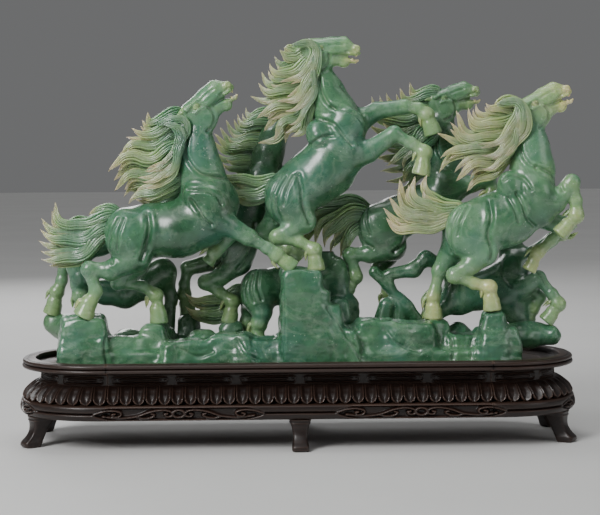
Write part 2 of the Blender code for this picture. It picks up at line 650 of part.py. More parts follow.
def pad_boxes(below):
    """Boxes over each pad that clear the rock, or boxes under each pad that trim a hoof flat."""
    boxes = {}
    for horse, pads in PADS.items():
        boxes[horse] = []
        for x, y, height in pads:
            low = height + GAP - PAD_HEIGHT if below else height
            high = height + GAP if below else height + PAD_HEIGHT
            boxes[horse].append(
                (
                    (x - PAD_HALF_WIDTH, y - PAD_HALF_WIDTH, low),
                    (x + PAD_HALF_WIDTH, y + PAD_HALF_WIDTH, high),
                )
            )
    return boxes


def make_horses():
    trims = pad_boxes(below=True)
    for name, limbs in HORSES.items():
        horse = add_mesh(name, limb_mesh(f"{name}_limbs", limbs.values()), JADE)
        fuse(horse, HORSE_VOXEL, HORSE_TRIANGLES)
        cut(horse, f"{name}_hoof_trim", trims[name])


def rock_mesh():
    """The whole bank of rocks: upright cones, two leaning limbs and a low bed."""
    shape = bmesh.new()
    for x, y, foot, top, height in ROCKS:
        made = bmesh.ops.create_cone(
            shape,
            cap_ends=True,
            segments=10,
            radius1=foot * MM,
            radius2=top * MM,
            depth=(height - STONE_FOOT + 6) * MM,
        )
        middle = Vector((x, y, (height + STONE_FOOT - 6) / 2)) * MM
        bmesh.ops.translate(shape, verts=made["verts"], vec=middle)
    left, right, front, back, top = ROCK_BED
    bed = boxes_mesh("rock_bed", [((left, front, STONE_FOOT - 6), (right, back, top))])
    shape.from_mesh(bed)
    limbs = limb_mesh("leaning_rocks", LEANING_ROCKS)
    shape.from_mesh(limbs)
    mesh = bpy.data.meshes.new("rocks")
    shape.to_mesh(mesh)
    shape.free()
    return mesh


def make_rocks():
    """The bank fused once, then parted by upright cuts, its foot cut flat and its pads levelled."""
    whole = add_helper("rocks_whole", rock_mesh())
    fuse(whole, ROCK_VOXEL, ROCK_TRIANGLES)
    bpy.context.view_layer.update()
    fused = mesh_of(whole)
    pads = [box for boxes in pad_boxes(below=False).values() for box in boxes]
    for name, (left, right) in ROCK_CUTS.items():
        rock = add_mesh(name, fused.copy(), JADE)
        bounds = ((left + GAP / 2, -80, STONE_FOOT), (right - GAP / 2, 80, 260))
        cut(rock, f"{name}_bounds", [bounds], "INTERSECT")
        near = [box for box in pads if box[1][0] > left and box[0][0] < right]
        cut(rock, f"{name}_pads", near)
    bpy.data.objects.remove(whole)


make_panel()
make_mouldings()
make_battens()
make_feet()
make_rocks()
make_horses()
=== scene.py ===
"""The looks of the carved jade horse group and its hardwood stand.

Every piece is built here in millimetres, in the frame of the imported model, and scaled to metres when
its mesh is made. The stone's bodies, legs and rocks are smooth unions of limbs on a grid of distances,
turned into a skin. Manes and tails are bundles of tapering strands. The stand is swept and carved.
"""

import math

import bpy
import numpy as np
from mathutils import Matrix, Vector


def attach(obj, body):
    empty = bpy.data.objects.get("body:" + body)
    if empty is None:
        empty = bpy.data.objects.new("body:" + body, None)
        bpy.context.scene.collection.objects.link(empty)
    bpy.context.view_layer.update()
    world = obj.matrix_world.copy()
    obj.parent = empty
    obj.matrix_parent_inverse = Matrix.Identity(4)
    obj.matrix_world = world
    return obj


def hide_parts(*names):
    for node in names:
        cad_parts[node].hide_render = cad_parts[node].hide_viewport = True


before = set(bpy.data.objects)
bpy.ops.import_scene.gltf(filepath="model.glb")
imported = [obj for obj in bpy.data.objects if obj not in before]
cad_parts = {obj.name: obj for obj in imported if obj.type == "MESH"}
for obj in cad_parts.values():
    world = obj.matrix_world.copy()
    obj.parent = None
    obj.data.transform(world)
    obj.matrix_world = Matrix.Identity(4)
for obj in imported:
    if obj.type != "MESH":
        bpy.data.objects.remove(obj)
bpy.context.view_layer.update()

MM = 0.001

HORSE_VOXEL = 1.0
ROCK_VOXEL = 1.5
FAR = 60.0

# How light the stone is, from its deep green bodies to its cream hair tips.
BODY, LIMB, LIGHT, CREAM = 0.0, 0.45, 0.9, 2.0


# ---------------------------------------------------------------- meshes

def new_piece(name, points, quads, material, tint=None):
    """A mesh object from points in millimetres and four-sided faces."""
    mesh = bpy.data.meshes.new(name)
    mesh.vertices.add(len(points))
    mesh.vertices.foreach_set("co", (np.asarray(points) * MM).astype(np.float32).ravel())
    quads = np.asarray(quads, np.int32)
    mesh.loops.add(quads.size)
    mesh.loops.foreach_set("vertex_index", quads.ravel())
    mesh.polygons.add(len(quads))
    mesh.polygons.foreach_set("loop_start", np.arange(0, quads.size, 4, dtype=np.int32))
    mesh.update(calc_edges=True)
    if tint is not None:
        layer = mesh.attributes.new("tint", "FLOAT", "POINT")
        layer.data.foreach_set("value", np.asarray(tint, np.float32))
    mesh.shade_smooth()
    mesh.materials.append(material)
    piece = bpy.data.objects.new(name, mesh)
    bpy.context.scene.collection.objects.link(piece)
    return piece


def finish_piece(piece, body, slot, *nodes):
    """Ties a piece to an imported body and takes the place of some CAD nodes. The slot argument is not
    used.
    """
    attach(piece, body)
    if nodes:
        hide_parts(*nodes)


def smooth_route(points, count):
    """A Catmull-Rom curve through the points, evenly sampled along its length."""
    points = np.asarray(points, float)
    ends = np.vstack([2 * points[0] - points[1], points, 2 * points[-1] - points[-2]])
    fine = []
    for i in range(len(points) - 1):
        a, b, c, d = ends[i], ends[i + 1], ends[i + 2], ends[i + 3]
        t = np.linspace(0, 1, 16, endpoint=False)[:, None]
        fine.append(0.5 * (2 * b + (c - a) * t + (2 * a - 5 * b + 4 * c - d) * t**2
                           + (3 * b - a - 3 * c + d) * t**3))
    fine = np.vstack(fine + [points[-1:]])
    run = np.concatenate([[0], np.cumsum(np.linalg.norm(np.diff(fine, axis=0), axis=1))])
    wanted = np.linspace(0, run[-1], count)
    return np.stack([np.interp(wanted, run, fine[:, k]) for k in range(points.shape[1])], axis=1)


def tube_mesh(routes, radii, sides):
    """Closed tubes along many routes at once: routes (tubes, steps, 3) and radii (tubes, steps)."""
    routes = np.asarray(routes, float)
    radii = np.asarray(radii, float)
    tubes, steps, _ = routes.shape
    way = np.gradient(routes, axis=1)
    way /= np.linalg.norm(way, axis=2, keepdims=True) + 1e-9
    across = np.cross(way, np.array([0.0, 1.0, 0.0]))
    across /= np.linalg.norm(across, axis=2, keepdims=True) + 1e-9
    depth = np.cross(across, way)
    angle = np.arange(sides) * 2 * math.pi / sides
    ring = (across[:, :, None, :] * np.cos(angle)[None, None, :, None]
            + depth[:, :, None, :] * np.sin(angle)[None, None, :, None])
    points = routes[:, :, None, :] + ring * radii[:, :, None, None]
    index = np.arange(tubes * steps * sides).reshape(tubes, steps, sides)
    a, b = index[:, :-1], index[:, 1:]
    side_quads = np.stack([a, b, np.roll(b, -1, axis=2), np.roll(a, -1, axis=2)], axis=-1).reshape(-1, 4)
    caps = []
    for row, turned in ((index[:, 0], False), (index[:, -1], True)):
        for first in range(0, sides - 2, 2):
            cap = row[:, [0, first + 1, first + 2, (first + 3) % sides]]
            caps.append(cap[:, ::-1] if turned else cap)
    return points.reshape(-1, 3), np.vstack([side_quads] + caps)


def joined(parts):
    """Several (points, quads, tint) meshes as one."""
    points, quads, tints, count = [], [], [], 0
    for part_points, part_quads, part_tint in parts:
        points.append(part_points)
        quads.append(part_quads + count)
        tints.append(np.broadcast_to(part_tint, len(part_points)))
        count += len(part_points)
    return np.vstack(points), np.vstack(quads), np.concatenate(tints)


# ---------------------------------------------------------------- the distance grid

class Grid:
    """Signed distances to a shape on a regular grid, with how light the stone is at each point."""

    def __init__(self, low, high, voxel):
        self.voxel = voxel
        self.low = np.asarray(low, np.float32)
        self.counts = np.ceil((np.asarray(high) - self.low) / voxel).astype(int) + 1
        self.distance = np.full(self.counts, FAR, np.float32)
        self.tint = np.zeros(self.counts, np.float32)

    def window(self, low, high):
        """The part of the grid between two corners, and the coordinates of its points."""
        first = np.clip(np.floor((low - self.low) / self.voxel).astype(int), 0, self.counts)
        last = np.clip(np.ceil((high - self.low) / self.voxel).astype(int) + 1, 0, self.counts)
        part = tuple(slice(a, b) for a, b in zip(first, last))
        x, y, z = (
            (self.low[k] + self.voxel * np.arange(first[k], last[k])).astype(np.float32) for k in range(3)
        )
        return part, x[:, None, None], y[None, :, None], z[None, None, :]

    def join(self, part, distance, blend, tint):
        old = self.distance[part]
        share = np.clip(0.5 + 0.5 * (old - distance) / blend, 0, 1)
        self.distance[part] = old + (distance - old) * share - blend * share * (1 - share)
        self.tint[part] += (tint - self.tint[part]) * share

    def carve(self, part, distance, blend):
        old = self.distance[part]
        share = np.clip(0.5 - 0.5 * (old + distance) / blend, 0, 1)
        self.distance[part] = old * (1 - share) - distance * share + blend * share * (1 - share)

    def limb_distance(self, a, b, radius_a, radius_b, blend, flat):
        a, b = np.asarray(a, np.float32), np.asarray(b, np.float32)
        reach = max(radius_a, radius_b) * max(1.0, flat) + blend + 2 * self.voxel
        part, x, y, z = self.window(np.minimum(a, b) - reach, np.maximum(a, b) + reach)
        way = b - a
        dx, dy, dz = x - a[0], y - a[1], z - a[2]
        along = np.clip((dx * way[0] + dy * way[1] + dz * way[2]) / max(float(way @ way), 1e-6), 0, 1)
        gap_x, gap_y, gap_z = dx - along * way[0], (dy - along * way[1]) / flat, dz - along * way[2]
        gap = np.sqrt(gap_x**2 + gap_y**2 + gap_z**2)
        return part, gap - (radius_a + (radius_b - radius_a) * along)

    def add_limb(self, a, b, radius_a, radius_b, blend, tint, flat=1.0):
        part, distance = self.limb_distance(a, b, radius_a, radius_b, blend, flat)
        self.join(part, distance, blend, tint)

    def cut_limb(self, a, b, radius_a, radius_b, blend, flat=1.0):
        part, distance = self.limb_distance(a, b, radius_a, radius_b, blend, flat)
        self.carve(part, distance, blend)

    def add_ball(self, centre, radii, turn, blend, tint):
        """An ellipsoid, turned in its upright plane by this many degrees."""
        centre = np.asarray(centre, np.float32)
        reach = max(radii) + blend + 2 * self.voxel
        part, x, y, z = self.window(centre - reach, centre + reach)
        c, s = math.cos(math.radians(turn)), math.sin(math.radians(turn))
        dx, dy, dz = x - centre[0], y - centre[1], z - centre[2]
        u, w = dx * c + dz * s, dz * c - dx * s
        u, v, w = u / radii[0], dy / radii[1], w / radii[2]
        near = np.sqrt(u**2 + v**2 + w**2) + 1e-6
        steep = np.sqrt((u / radii[0]) ** 2 + (v / radii[1]) ** 2 + (w / radii[2]) ** 2) + 1e-6
        self.join(part, near * (near - 1) / steep, blend, tint)

    def add_hoof(self, top, sole, radius, tint):
        """A hoof: a block that widens from its coronet to a flat sole."""
        top, sole = np.asarray(top, np.float32), np.asarray(sole, np.float32)
        length = float(np.linalg.norm(sole - top))
        way = (sole - top) / length
        reach = radius + 4 + 2 * self.voxel
        part, x, y, z = self.window(np.minimum(top, sole) - reach, np.maximum(top, sole) + reach)
        dx, dy, dz = x - top[0], y - top[1], z - top[2]
        along = dx * way[0] + dy * way[1] + dz * way[2]
        out = np.sqrt(np.maximum(dx**2 + dy**2 + dz**2 - along**2, 0))
        wide = radius * (0.84 + 0.16 * np.clip(along / length, 0, 1))
        edge = 1.6
        side = out - wide + edge
        ends = np.abs(along - length / 2) - length / 2 + edge
        block = np.sqrt(np.maximum(side, 0) ** 2 + np.maximum(ends, 0) ** 2) - edge
        block += np.minimum(np.maximum(side, ends), 0)
        self.join(part, block, 0.7, tint)

    def sample(self, values, points):
        """Values of the grid at points, read between its nearest corners."""
        place = (points - self.low) / self.voxel
        base = np.clip(np.floor(place).astype(int), 0, self.counts - 2)
        share = np.clip(place - base, 0, 1)
        total = np.zeros(len(points))
        for i in (0, 1):
            for j in (0, 1):
                for k in (0, 1):
                    weight = (np.abs(1 - i - share[:, 0]) * np.abs(1 - j - share[:, 1])
                              * np.abs(1 - k - share[:, 2]))
                    total += weight * values[base[:, 0] + i, base[:, 1] + j, base[:, 2] + k]
        return total

    def skin(self):
        """The shape's surface as (points, quads, tint), one point in each cell that it crosses."""
        values = self.distance
        inside = values < 0
        cells = np.zeros(self.counts - 1, np.int8)
        for i in (0, 1):
            for j in (0, 1):
                for k in (0, 1):
                    cells += inside[i:i + cells.shape[0], j:j + cells.shape[1], k:k + cells.shape[2]]
        active = (cells > 0) & (cells < 8)
        number = np.full(active.shape, -1, np.int32)
        where = np.argwhere(active)
        number[active] = np.arange(len(where))
        total = np.zeros((len(where), 3))
        hits = np.zeros(len(where))
        for axis in range(3):
            others = [k for k in range(3) if k != axis]
            for first in (0, 1):
                for second in (0, 1):
                    corner = where.copy()
                    corner[:, others[0]] += first
                    corner[:, others[1]] += second
                    beyond = corner.copy()
                    beyond[:, axis] += 1
                    a = values[tuple(corner.T)]
                    b = values[tuple(beyond.T)]
                    crossed = (a < 0) != (b < 0)
                    share = np.where(crossed, a / np.where(crossed, a - b, 1), 0)
                    place = corner.astype(float)
                    place[:, axis] += share
                    total[crossed] += place[crossed]
                    hits[crossed] += 1
        points = self.low + self.voxel * total / hits[:, None]
        quads = []
        for axis in range(3):
            second, third = (axis + 1) % 3, (axis + 2) % 3
            here = [slice(None)] * 3
            here[axis] = slice(0, -1)
            next_one = [slice(None)] * 3
            next_one[axis] = slice(1, None)
            change = inside[tuple(here)] != inside[tuple(next_one)]
            edges = np.argwhere(change)
            keep = (edges[:, second] > 0) & (edges[:, third] > 0)
            keep &= (edges[:, second] < number.shape[second]) & (edges[:, third] < number.shape[third])
            edges = edges[keep]
            corners = []
            for back_second, back_third in ((1, 1), (0, 1), (0, 0), (1, 0)):
                cell = edges.copy()
                cell[:, second] -= back_second
                cell[:, third] -= back_third
                corners.append(number[tuple(cell.T)])
            faces = np.stack(corners, axis=1)
            outward = inside[tuple(edges.T)]
            faces[~outward] = faces[~outward][:, ::-1]
            quads.append(faces)
        return points, np.vstack(quads), self.sample(self.tint, points)


# ---------------------------------------------------------------- engraving

def point_normals(points, quads):
    """Outward normals at the points of a closed mesh."""
    faces = np.cross(points[quads[:, 2]] - points[quads[:, 0]], points[quads[:, 3]] - points[quads[:, 1]])
    total = np.zeros_like(points)
    for corner in range(4):
        for k in range(3):
            total[:, k] += np.bincount(quads[:, corner], faces[:, k], len(points))
    return total / (np.linalg.norm(total, axis=1, keepdims=True) + 1e-9)


def distance_to_line(x, z, line):
    """How far points are from a line of straight runs, all in the upright plane."""
    best = np.full(len(x), 1e9)
    for (ax, az), (bx, bz) in zip(line[:-1], line[1:]):
        wx, wz = bx - ax, bz - az
        along = np.clip(((x - ax) * wx + (z - az) * wz) / (wx * wx + wz * wz + 1e-9), 0, 1)
        best = np.minimum(best, np.hypot(x - ax - along * wx, z - az - along * wz))
    return best


# How deep a groove is cut and how high its lips stand, as shares of its given depth.
GROOVE, LIP = 1.25, 0.30


def engrave(points, quads, lines):
    """Sinks soft grooves with raised lips, each (depth, width, line), into both sides of a body."""
    normals = point_normals(points, quads)
    facing = np.clip(np.abs(normals[:, 1]) * 1.4 - 0.15, 0, 1)
    sink = np.zeros(len(points))
    for depth, width, line in lines:
        line = smooth_route(line, 14)
        near = distance_to_line(points[:, 0], points[:, 2], line)
        sink += GROOVE * depth * np.exp(-((near / width) ** 2))
        sink -= LIP * depth * np.exp(-(((near - 2.4 * width) / (1.2 * width)) ** 2))
    return points - normals * (sink * facing)[:, None]


# ---------------------------------------------------------------- horses

HOOF_LENGTH = 13.5
TUFT_STEPS = 12
CANNON_WAIST = 0.86


def add_chain(grid, points, blend, tint, flat):
    """A limb through several points (x, y, z, radius)."""
    for a, b in zip(points[:-1], points[1:]):
        grid.add_limb(a[:3], b[:3], a[3], b[3], blend, tint, flat)


def add_leg(grid, points):
    """A leg: muscle, joint, cannon, fetlock and hoof. The last point is the middle of the sole."""
    bones, sole = points[:-1], np.array(points[-1][:3], float)
    last = len(bones) - 1
    for i in range(last):
        a, b = np.array(bones[i], float), np.array(bones[i + 1], float)
        tint_a = BODY + (LIGHT - BODY) * i / last
        blend = 9 if i == 0 else 3
        if i >= 2:
            # A cannon is thinner in its middle than at its joints.
            middle = (a + b) / 2
            middle[3] = CANNON_WAIST * min(a[3], b[3])
            grid.add_limb(a[:3], middle[:3], a[3], middle[3], blend, tint_a, 0.9)
            grid.add_limb(middle[:3], b[:3], middle[3], b[3], blend, tint_a, 0.9)
        else:
            grid.add_limb(a[:3], b[:3], a[3], b[3], blend, tint_a, 0.9)
    fetlock = np.array(bones[-1], float)
    way = (sole - fetlock[:3]) / np.linalg.norm(sole - fetlock[:3])
    rear = np.array([way[2], 0.0, -way[0]])
    grid.add_ball(fetlock[:3] + rear * 1.5, [fetlock[3] + 1.6] * 3, 0, 3, LIGHT)
    hoof_radius = points[-1][3]
    distance = float(np.linalg.norm(sole - fetlock[:3]))
    coronet = sole - way * min(HOOF_LENGTH, 0.56 * distance)
    grid.add_limb(fetlock[:3], coronet, fetlock[3] * 0.86, hoof_radius * 0.66, 1.5, LIGHT, 0.95)
    grid.add_ball(coronet + rear * 0.8, [hoof_radius * 0.82] * 3, 0, 1.0, LIGHT)
    grid.add_hoof(coronet, sole, hoof_radius, LIGHT)
    return fetlock, way, rear


def tuft_routes(fetlock, way, rear, rng):
    """Short curls of hair behind a fetlock, as routes with their radii."""
    taper = 1 - np.linspace(0, 1, TUFT_STEPS) ** 1.5
    routes, radii = [], []
    for side in (-0.3, 0.3):
        start = fetlock[:3] + rear * 2 + np.array([0, side * fetlock[3], 0])
        reach = 9.5 + 3.0 * rng.random()
        bend = start + rear * reach * 0.66 + way * 2.0
        tip = start + rear * reach * 0.78 + way * reach * 0.95
        routes.append(smooth_route([start - way * 5, start + rear * 2, bend, tip], TUFT_STEPS))
        radii.append(3.2 * taper + 0.3)
    return routes, radii


def head_placer(poll, turn, size, depth, facing):
    """Turns (forward, up, side) on a head into a place, the poll being its origin."""
    c, s = math.cos(math.radians(turn)), math.sin(math.radians(turn))

    def place(forward, up, side=0.0):
        up = up * depth
        x = poll[0] + facing * (forward * c - up * s) * size
        z = poll[2] + (forward * s + up * c) * size
        return np.array([x, poll[1] + side * size, z])

    return place


def add_head(grid, poll, turn, size=1.0, depth=1.0, facing=1):
    """A horse's head, its mouth open: skull, muzzle, cheeks, jaw, lips, teeth, nostrils, eyes, ears."""
    at = head_placer(poll, turn, size, depth, facing)

    def limb(a, b, radius_a, radius_b, blend, tint, flat=1.0):
        grid.add_limb(at(*a), at(*b), radius_a * size, radius_b * size, blend, tint, flat)

    def cut(a, b, radius_a, radius_b, blend, flat=1.0):
        grid.cut_limb(at(*a), at(*b), radius_a * size, radius_b * size, blend, flat)

    def ball(centre, radii, blend, tint, lean=0.0):
        grid.add_ball(at(*centre), [r * size for r in radii], facing * (turn + lean), blend, tint)

    limb((5, -12.5), (28, -11), 12.5, 10.8, 5, LIMB, 0.86)
    limb((28, -11), (39, -10.2), 10.8, 10.0, 4, LIMB, 0.84)
    limb((39, -10.2), (47, -14.2), 10.0, 8.3, 3, LIGHT, 0.82)
    limb((47, -14), (51.5, -16.4), 6.5, 4.4, 2, LIGHT, 1.0)
    ball((10.5, -23), (15.0, 10.5, 15.0), 3.5, LIMB)
    limb((12, -26), (29, -24.5), 9.0, 6.2, 4, LIMB, 0.8)
    limb((29, -24.5), (40, -27), 6.2, 4.2, 2.5, LIGHT, 0.95)
    ball((37.5, -29.6), (5.6, 4.6, 4.4), 1.8, LIGHT)
    cut((67, 16.6), (79, 0), 28, 28, 1.2)
    cut((44.5, -21.2), (47, -21.8), 2.4, 2.4, 0.8, 6.0)
    cut((46, -22.2), (60, -25.6), 1.5, 2.7, 0.8, 6.0)
    limb((39, -25.8), (49, -28.2), 2.8, 1.9, 0.8, LIGHT + 0.3, 1.7)
    limb((49, -28.2), (52.2, -27), 1.9, 1.2, 0.8, CREAM, 1.5)
    for side in (-3.4, -1.2, 1.2, 3.4):
        ball((50.5, -21.0, side), (1.2, 1.1, 1.9), 0.4, CREAM)
        ball((46.5, -26, side), (1.1, 1.0, 1.9), 0.4, CREAM)
    for side in (-1, 1):
        ball((50.5, -13.5, side * 5.2), (4.6, 3.4, 4.0), 1.5, LIGHT + 0.2)
        cut((51.5, -13.2, side * 9.2), (54.5, -14.6, side * 7.6), 2.1, 1.6, 0.6)
        limb((4, -6.5, side * 10.6), (18, -5.6, side * 9.0), 2.5, 1.8, 1.4, LIMB)
        cut((11, -10.4, side * 13), (17, -10.6, side * 12.2), 3.9, 3.2, 0.9)
        ball((14.0, -10.3, side * 9.4), (3.3, 2.8, 3.0), 0.4, LIGHT)
        limb((8.5, -14.4, side * 10.8), (19, -14.2, side * 9.6), 1.5, 1.1, 0.7, LIMB)
        limb((18, -5.6, side * 9.0), (22, -9, side * 8.8), 1.6, 1.2, 0.9, LIMB)
        limb((21, -15.5, side * 8.8), (40, -14.5, side * 7.4), 2.1, 1.3, 2.0, LIMB)
        limb((44, -18.2, side * 6.6), (50, -19.6, side * 5.2), 1.9, 1.5, 1.2, LIGHT)
        limb((1, -5, side * 6.5), (-8, -5.5, side * 9.5), 3.4, 1.0, 1.5, LIGHT, 0.85)
        cut((-1, -3.6, side * 9.5), (-7, -4.4, side * 11.5), 1.5, 0.5, 0.6)
    return at


def head_lines(at):
    """The engraved lines of a head: round the cheek, along the jaw and over the nose."""
    def run(*places):
        return [(float(at(*p)[0]), float(at(*p)[2])) for p in places]

    angles = np.radians([70, 35, 0, -35, -70, -105])
    cheek = [(10 + 13.5 * math.cos(a), -23 + 13 * math.sin(a)) for a in angles]
    return [
        (1.3, 1.3, run(*cheek)),
        (0.9, 1.1, run((28, -20), (36, -21), (41, -21))),
        (0.7, 1.0, run((40, -16.5), (46, -17), (50, -16))),
        (0.7, 1.0, run((22, -8), (30, -7.5), (38, -8))),
    ]


# ---------------------------------------------------------------- hair

LOCK_STEPS, STRAND_STEPS = 120, 34
STRANDS_ACROSS, STRAND_SIDES = 5, 6
# How far the tips of neighbouring locks reach, in turn, as shares of their guides.
TIP_REACH = (1.0, 0.93, 1.03, 0.96)


def make_locks(fans):
    """The locks of some fans as (depth, radius, outline): each lies between two guide locks."""
    locks = []
    for count, depths, radius, guides in fans:
        routes = [smooth_route(guide, 9) for guide in guides]
        for number in range(count):
            place = number / (count - 1) * (len(guides) - 1)
            lower = min(int(place), len(guides) - 2)
            share = place - lower
            outline = routes[lower] * (1 - share) + routes[lower + 1] * share
            outline[4:] = outline[4] + (outline[4:] - outline[4]) * TIP_REACH[number % len(TIP_REACH)]
            locks.append((depths[number % len(depths)], radius, outline))
    return locks


def thicker_hair(locks, rng):
    """The locks, slimmer, with one more between each two neighbours that lie side by side."""
    steps = 90
    routes = [(depth, radius * 0.74, smooth_route(outline, steps)) for depth, radius, outline in locks]
    more = []
    for first, second in zip(routes[:-1], routes[1:]):
        near = [np.linalg.norm(first[2][k] - second[2][k]) for k in (0, -1)]
        if near[0] < 16 and near[1] < 40:
            share = 0.35 + 0.3 * rng.random()
            route = first[2] * share + second[2] * (1 - share)
            route = route[:int(steps * (0.74 + 0.2 * rng.random()))]
            depth = (first[0] + second[0]) / 2 - 2.5 + 2 * rng.random()
            more.append((depth, (first[1] + second[1]) * (0.38 + 0.1 * rng.random()), route))
    return routes + more


def hair_mesh(locks, rng, base):
    """Locks of hair, each (depth, radius, outline): wavy strands that draw together to a curled tip."""
    parts = []
    share = np.linspace(0, 1, STRAND_STEPS)
    run = np.linspace(0, 1, LOCK_STEPS)
    swell = np.interp(share, [0, 0.1, 0.3, 0.55, 0.8, 0.93, 1], [0.35, 0.95, 1.25, 1.1, 0.78, 0.42, 0.05])
    for depth, radius, outline in thicker_hair(locks, rng):
        outline = np.asarray(outline, float)
        root_way = (outline[0] - outline[1]) / np.linalg.norm(outline[0] - outline[1])
        guide = smooth_route(np.vstack([outline[:1] + root_way * 6, outline]), LOCK_STEPS)
        length = np.linalg.norm(np.diff(guide, axis=0), axis=1).sum()
        route = np.stack([guide[:, 0], np.full(LOCK_STEPS, float(depth)), guide[:, 1]], axis=1)
        way = np.gradient(route, axis=0)
        way /= np.linalg.norm(way, axis=1, keepdims=True)
        across = np.stack([-way[:, 2], np.zeros(LOCK_STEPS), way[:, 0]], axis=1)
        phase = (outline[0][0] + outline[0][1]) / 22.0 + 0.5 * rng.random()
        sway = np.sin(run * length / 38.0 * 2 * math.pi + phase) * 1.7 * np.sin(run * math.pi) ** 0.5
        middle = way[LOCK_STEPS // 2]
        turned = way[-1, 0] * middle[2] - way[-1, 2] * middle[0]
        curl = (1.0 if turned >= 0 else -1.0) * 5.0 * np.clip((run - 0.72) / 0.28, 0, 1) ** 2
        route += across * (sway - curl)[:, None]
        route[:, 1] += 1.2 * np.sin(run * length / 44.0 * 2 * math.pi + phase)
        places = [(0.0, 0.0, 0.62)]
        for a in np.linspace(-0.85, 0.85, STRANDS_ACROSS):
            bulge = 0.5 * math.sqrt(1 - 0.8 * a * a)
            places += [(a, -bulge, 0.27), (a, bulge, 0.27)]
        routes, radii = [], []
        for a, b, thick in places:
            fine = thick < 0.5
            reach = 1.0 - 0.10 * rng.random() * abs(a) * fine
            at = share * reach * (LOCK_STEPS - 1)
            low = np.minimum(at.astype(int), LOCK_STEPS - 2)
            part = (at - low)[:, None]
            centre = route[low] * (1 - part) + route[low + 1] * part
            side = across[low] * (1 - part) + across[low + 1] * part
            body = np.interp(share * reach, share, swell) * radius
            wave = 0.13 * np.sin(share * length / 14.0 + 3 * a + 0.8 * rng.random())
            centre = centre + side * ((a + wave * fine) * body)[:, None]
            centre[:, 1] += b * body
            taper = np.minimum(1.0, (1 - share) * 7 + 0.12)
            routes.append(centre)
            radii.append(np.maximum(thick * body * taper, 0.22))
        points, quads = tube_mesh(routes, radii, STRAND_SIDES)
        light = base + 0.35 * rng.random()
        tint = light + 0.45 * share + (CREAM - light - 0.45) * share**7
        parts.append((points, quads, np.tile(tint, len(places)).repeat(STRAND_SIDES)))
    return joined(parts)


def make_horse(name, plan, hair, tone, material, seed):
    """One horse: its body, the tufts at its fetlocks, and its mane and tail."""
    rng = np.random.default_rng(seed)
    chains = (plan["trunk"], plan["neck"], *plan["legs"], *plan.get("more", ()))
    spots = [p[:3] for chain in chains for p in chain]
    poll, turn, size, depth, facing = plan["head"]
    at = head_placer(poll, turn, size, depth, facing)
    spots += [at(58, -12), at(20, 6), at(40, -38), at(-10, -40)]
    low, high = np.min(spots, axis=0), np.max(spots, axis=0)
    grid = Grid(low - 36, high + 36, HORSE_VOXEL)
    add_chain(grid, plan["trunk"], 8, BODY, 0.92)
    add_chain(grid, plan["neck"], 7, BODY + 0.1, 0.82)
    for extra in plan.get("more", ()):
        add_chain(grid, extra, 6, BODY, 0.9)
    for centre, radii, lean, blend in plan["muscles"]:
        grid.add_ball(centre, radii, lean, blend, BODY)
    routes, radii = [], []
    for leg in plan["legs"]:
        fetlock, way, rear = add_leg(grid, leg)
        more_routes, more_radii = tuft_routes(fetlock, way, rear, rng)
        routes += more_routes
        radii += more_radii
    add_head(grid, *plan["head"])
    points, quads, tint = grid.skin()
    points = engrave(points, quads, list(plan["lines"]) + head_lines(at))
    body = new_piece(f"{name}_body", points, quads, material, tint + tone)
    finish_piece(body, "carving", "jade", name)
    tuft_points, tuft_quads = tube_mesh(routes, radii, STRAND_SIDES)
    tuft_tint = np.tile(LIGHT + 0.5 * np.linspace(0, 1, TUFT_STEPS), len(routes)).repeat(STRAND_SIDES)
    tufts = new_piece(f"{name}_fetlock_hair", tuft_points, tuft_quads, material, tuft_tint)
    finish_piece(tufts, "carving", "jade")
    for part, fans in hair.items():
        points, quads, tint = hair_mesh(make_locks(fans), rng, 1.2 * tone + 0.22)
        strands = new_piece(f"{name}_{part}", points, quads, material, tint)
        finish_piece(strands, "carving", "jade")


# ---------------------------------------------------------------- measures of the horses

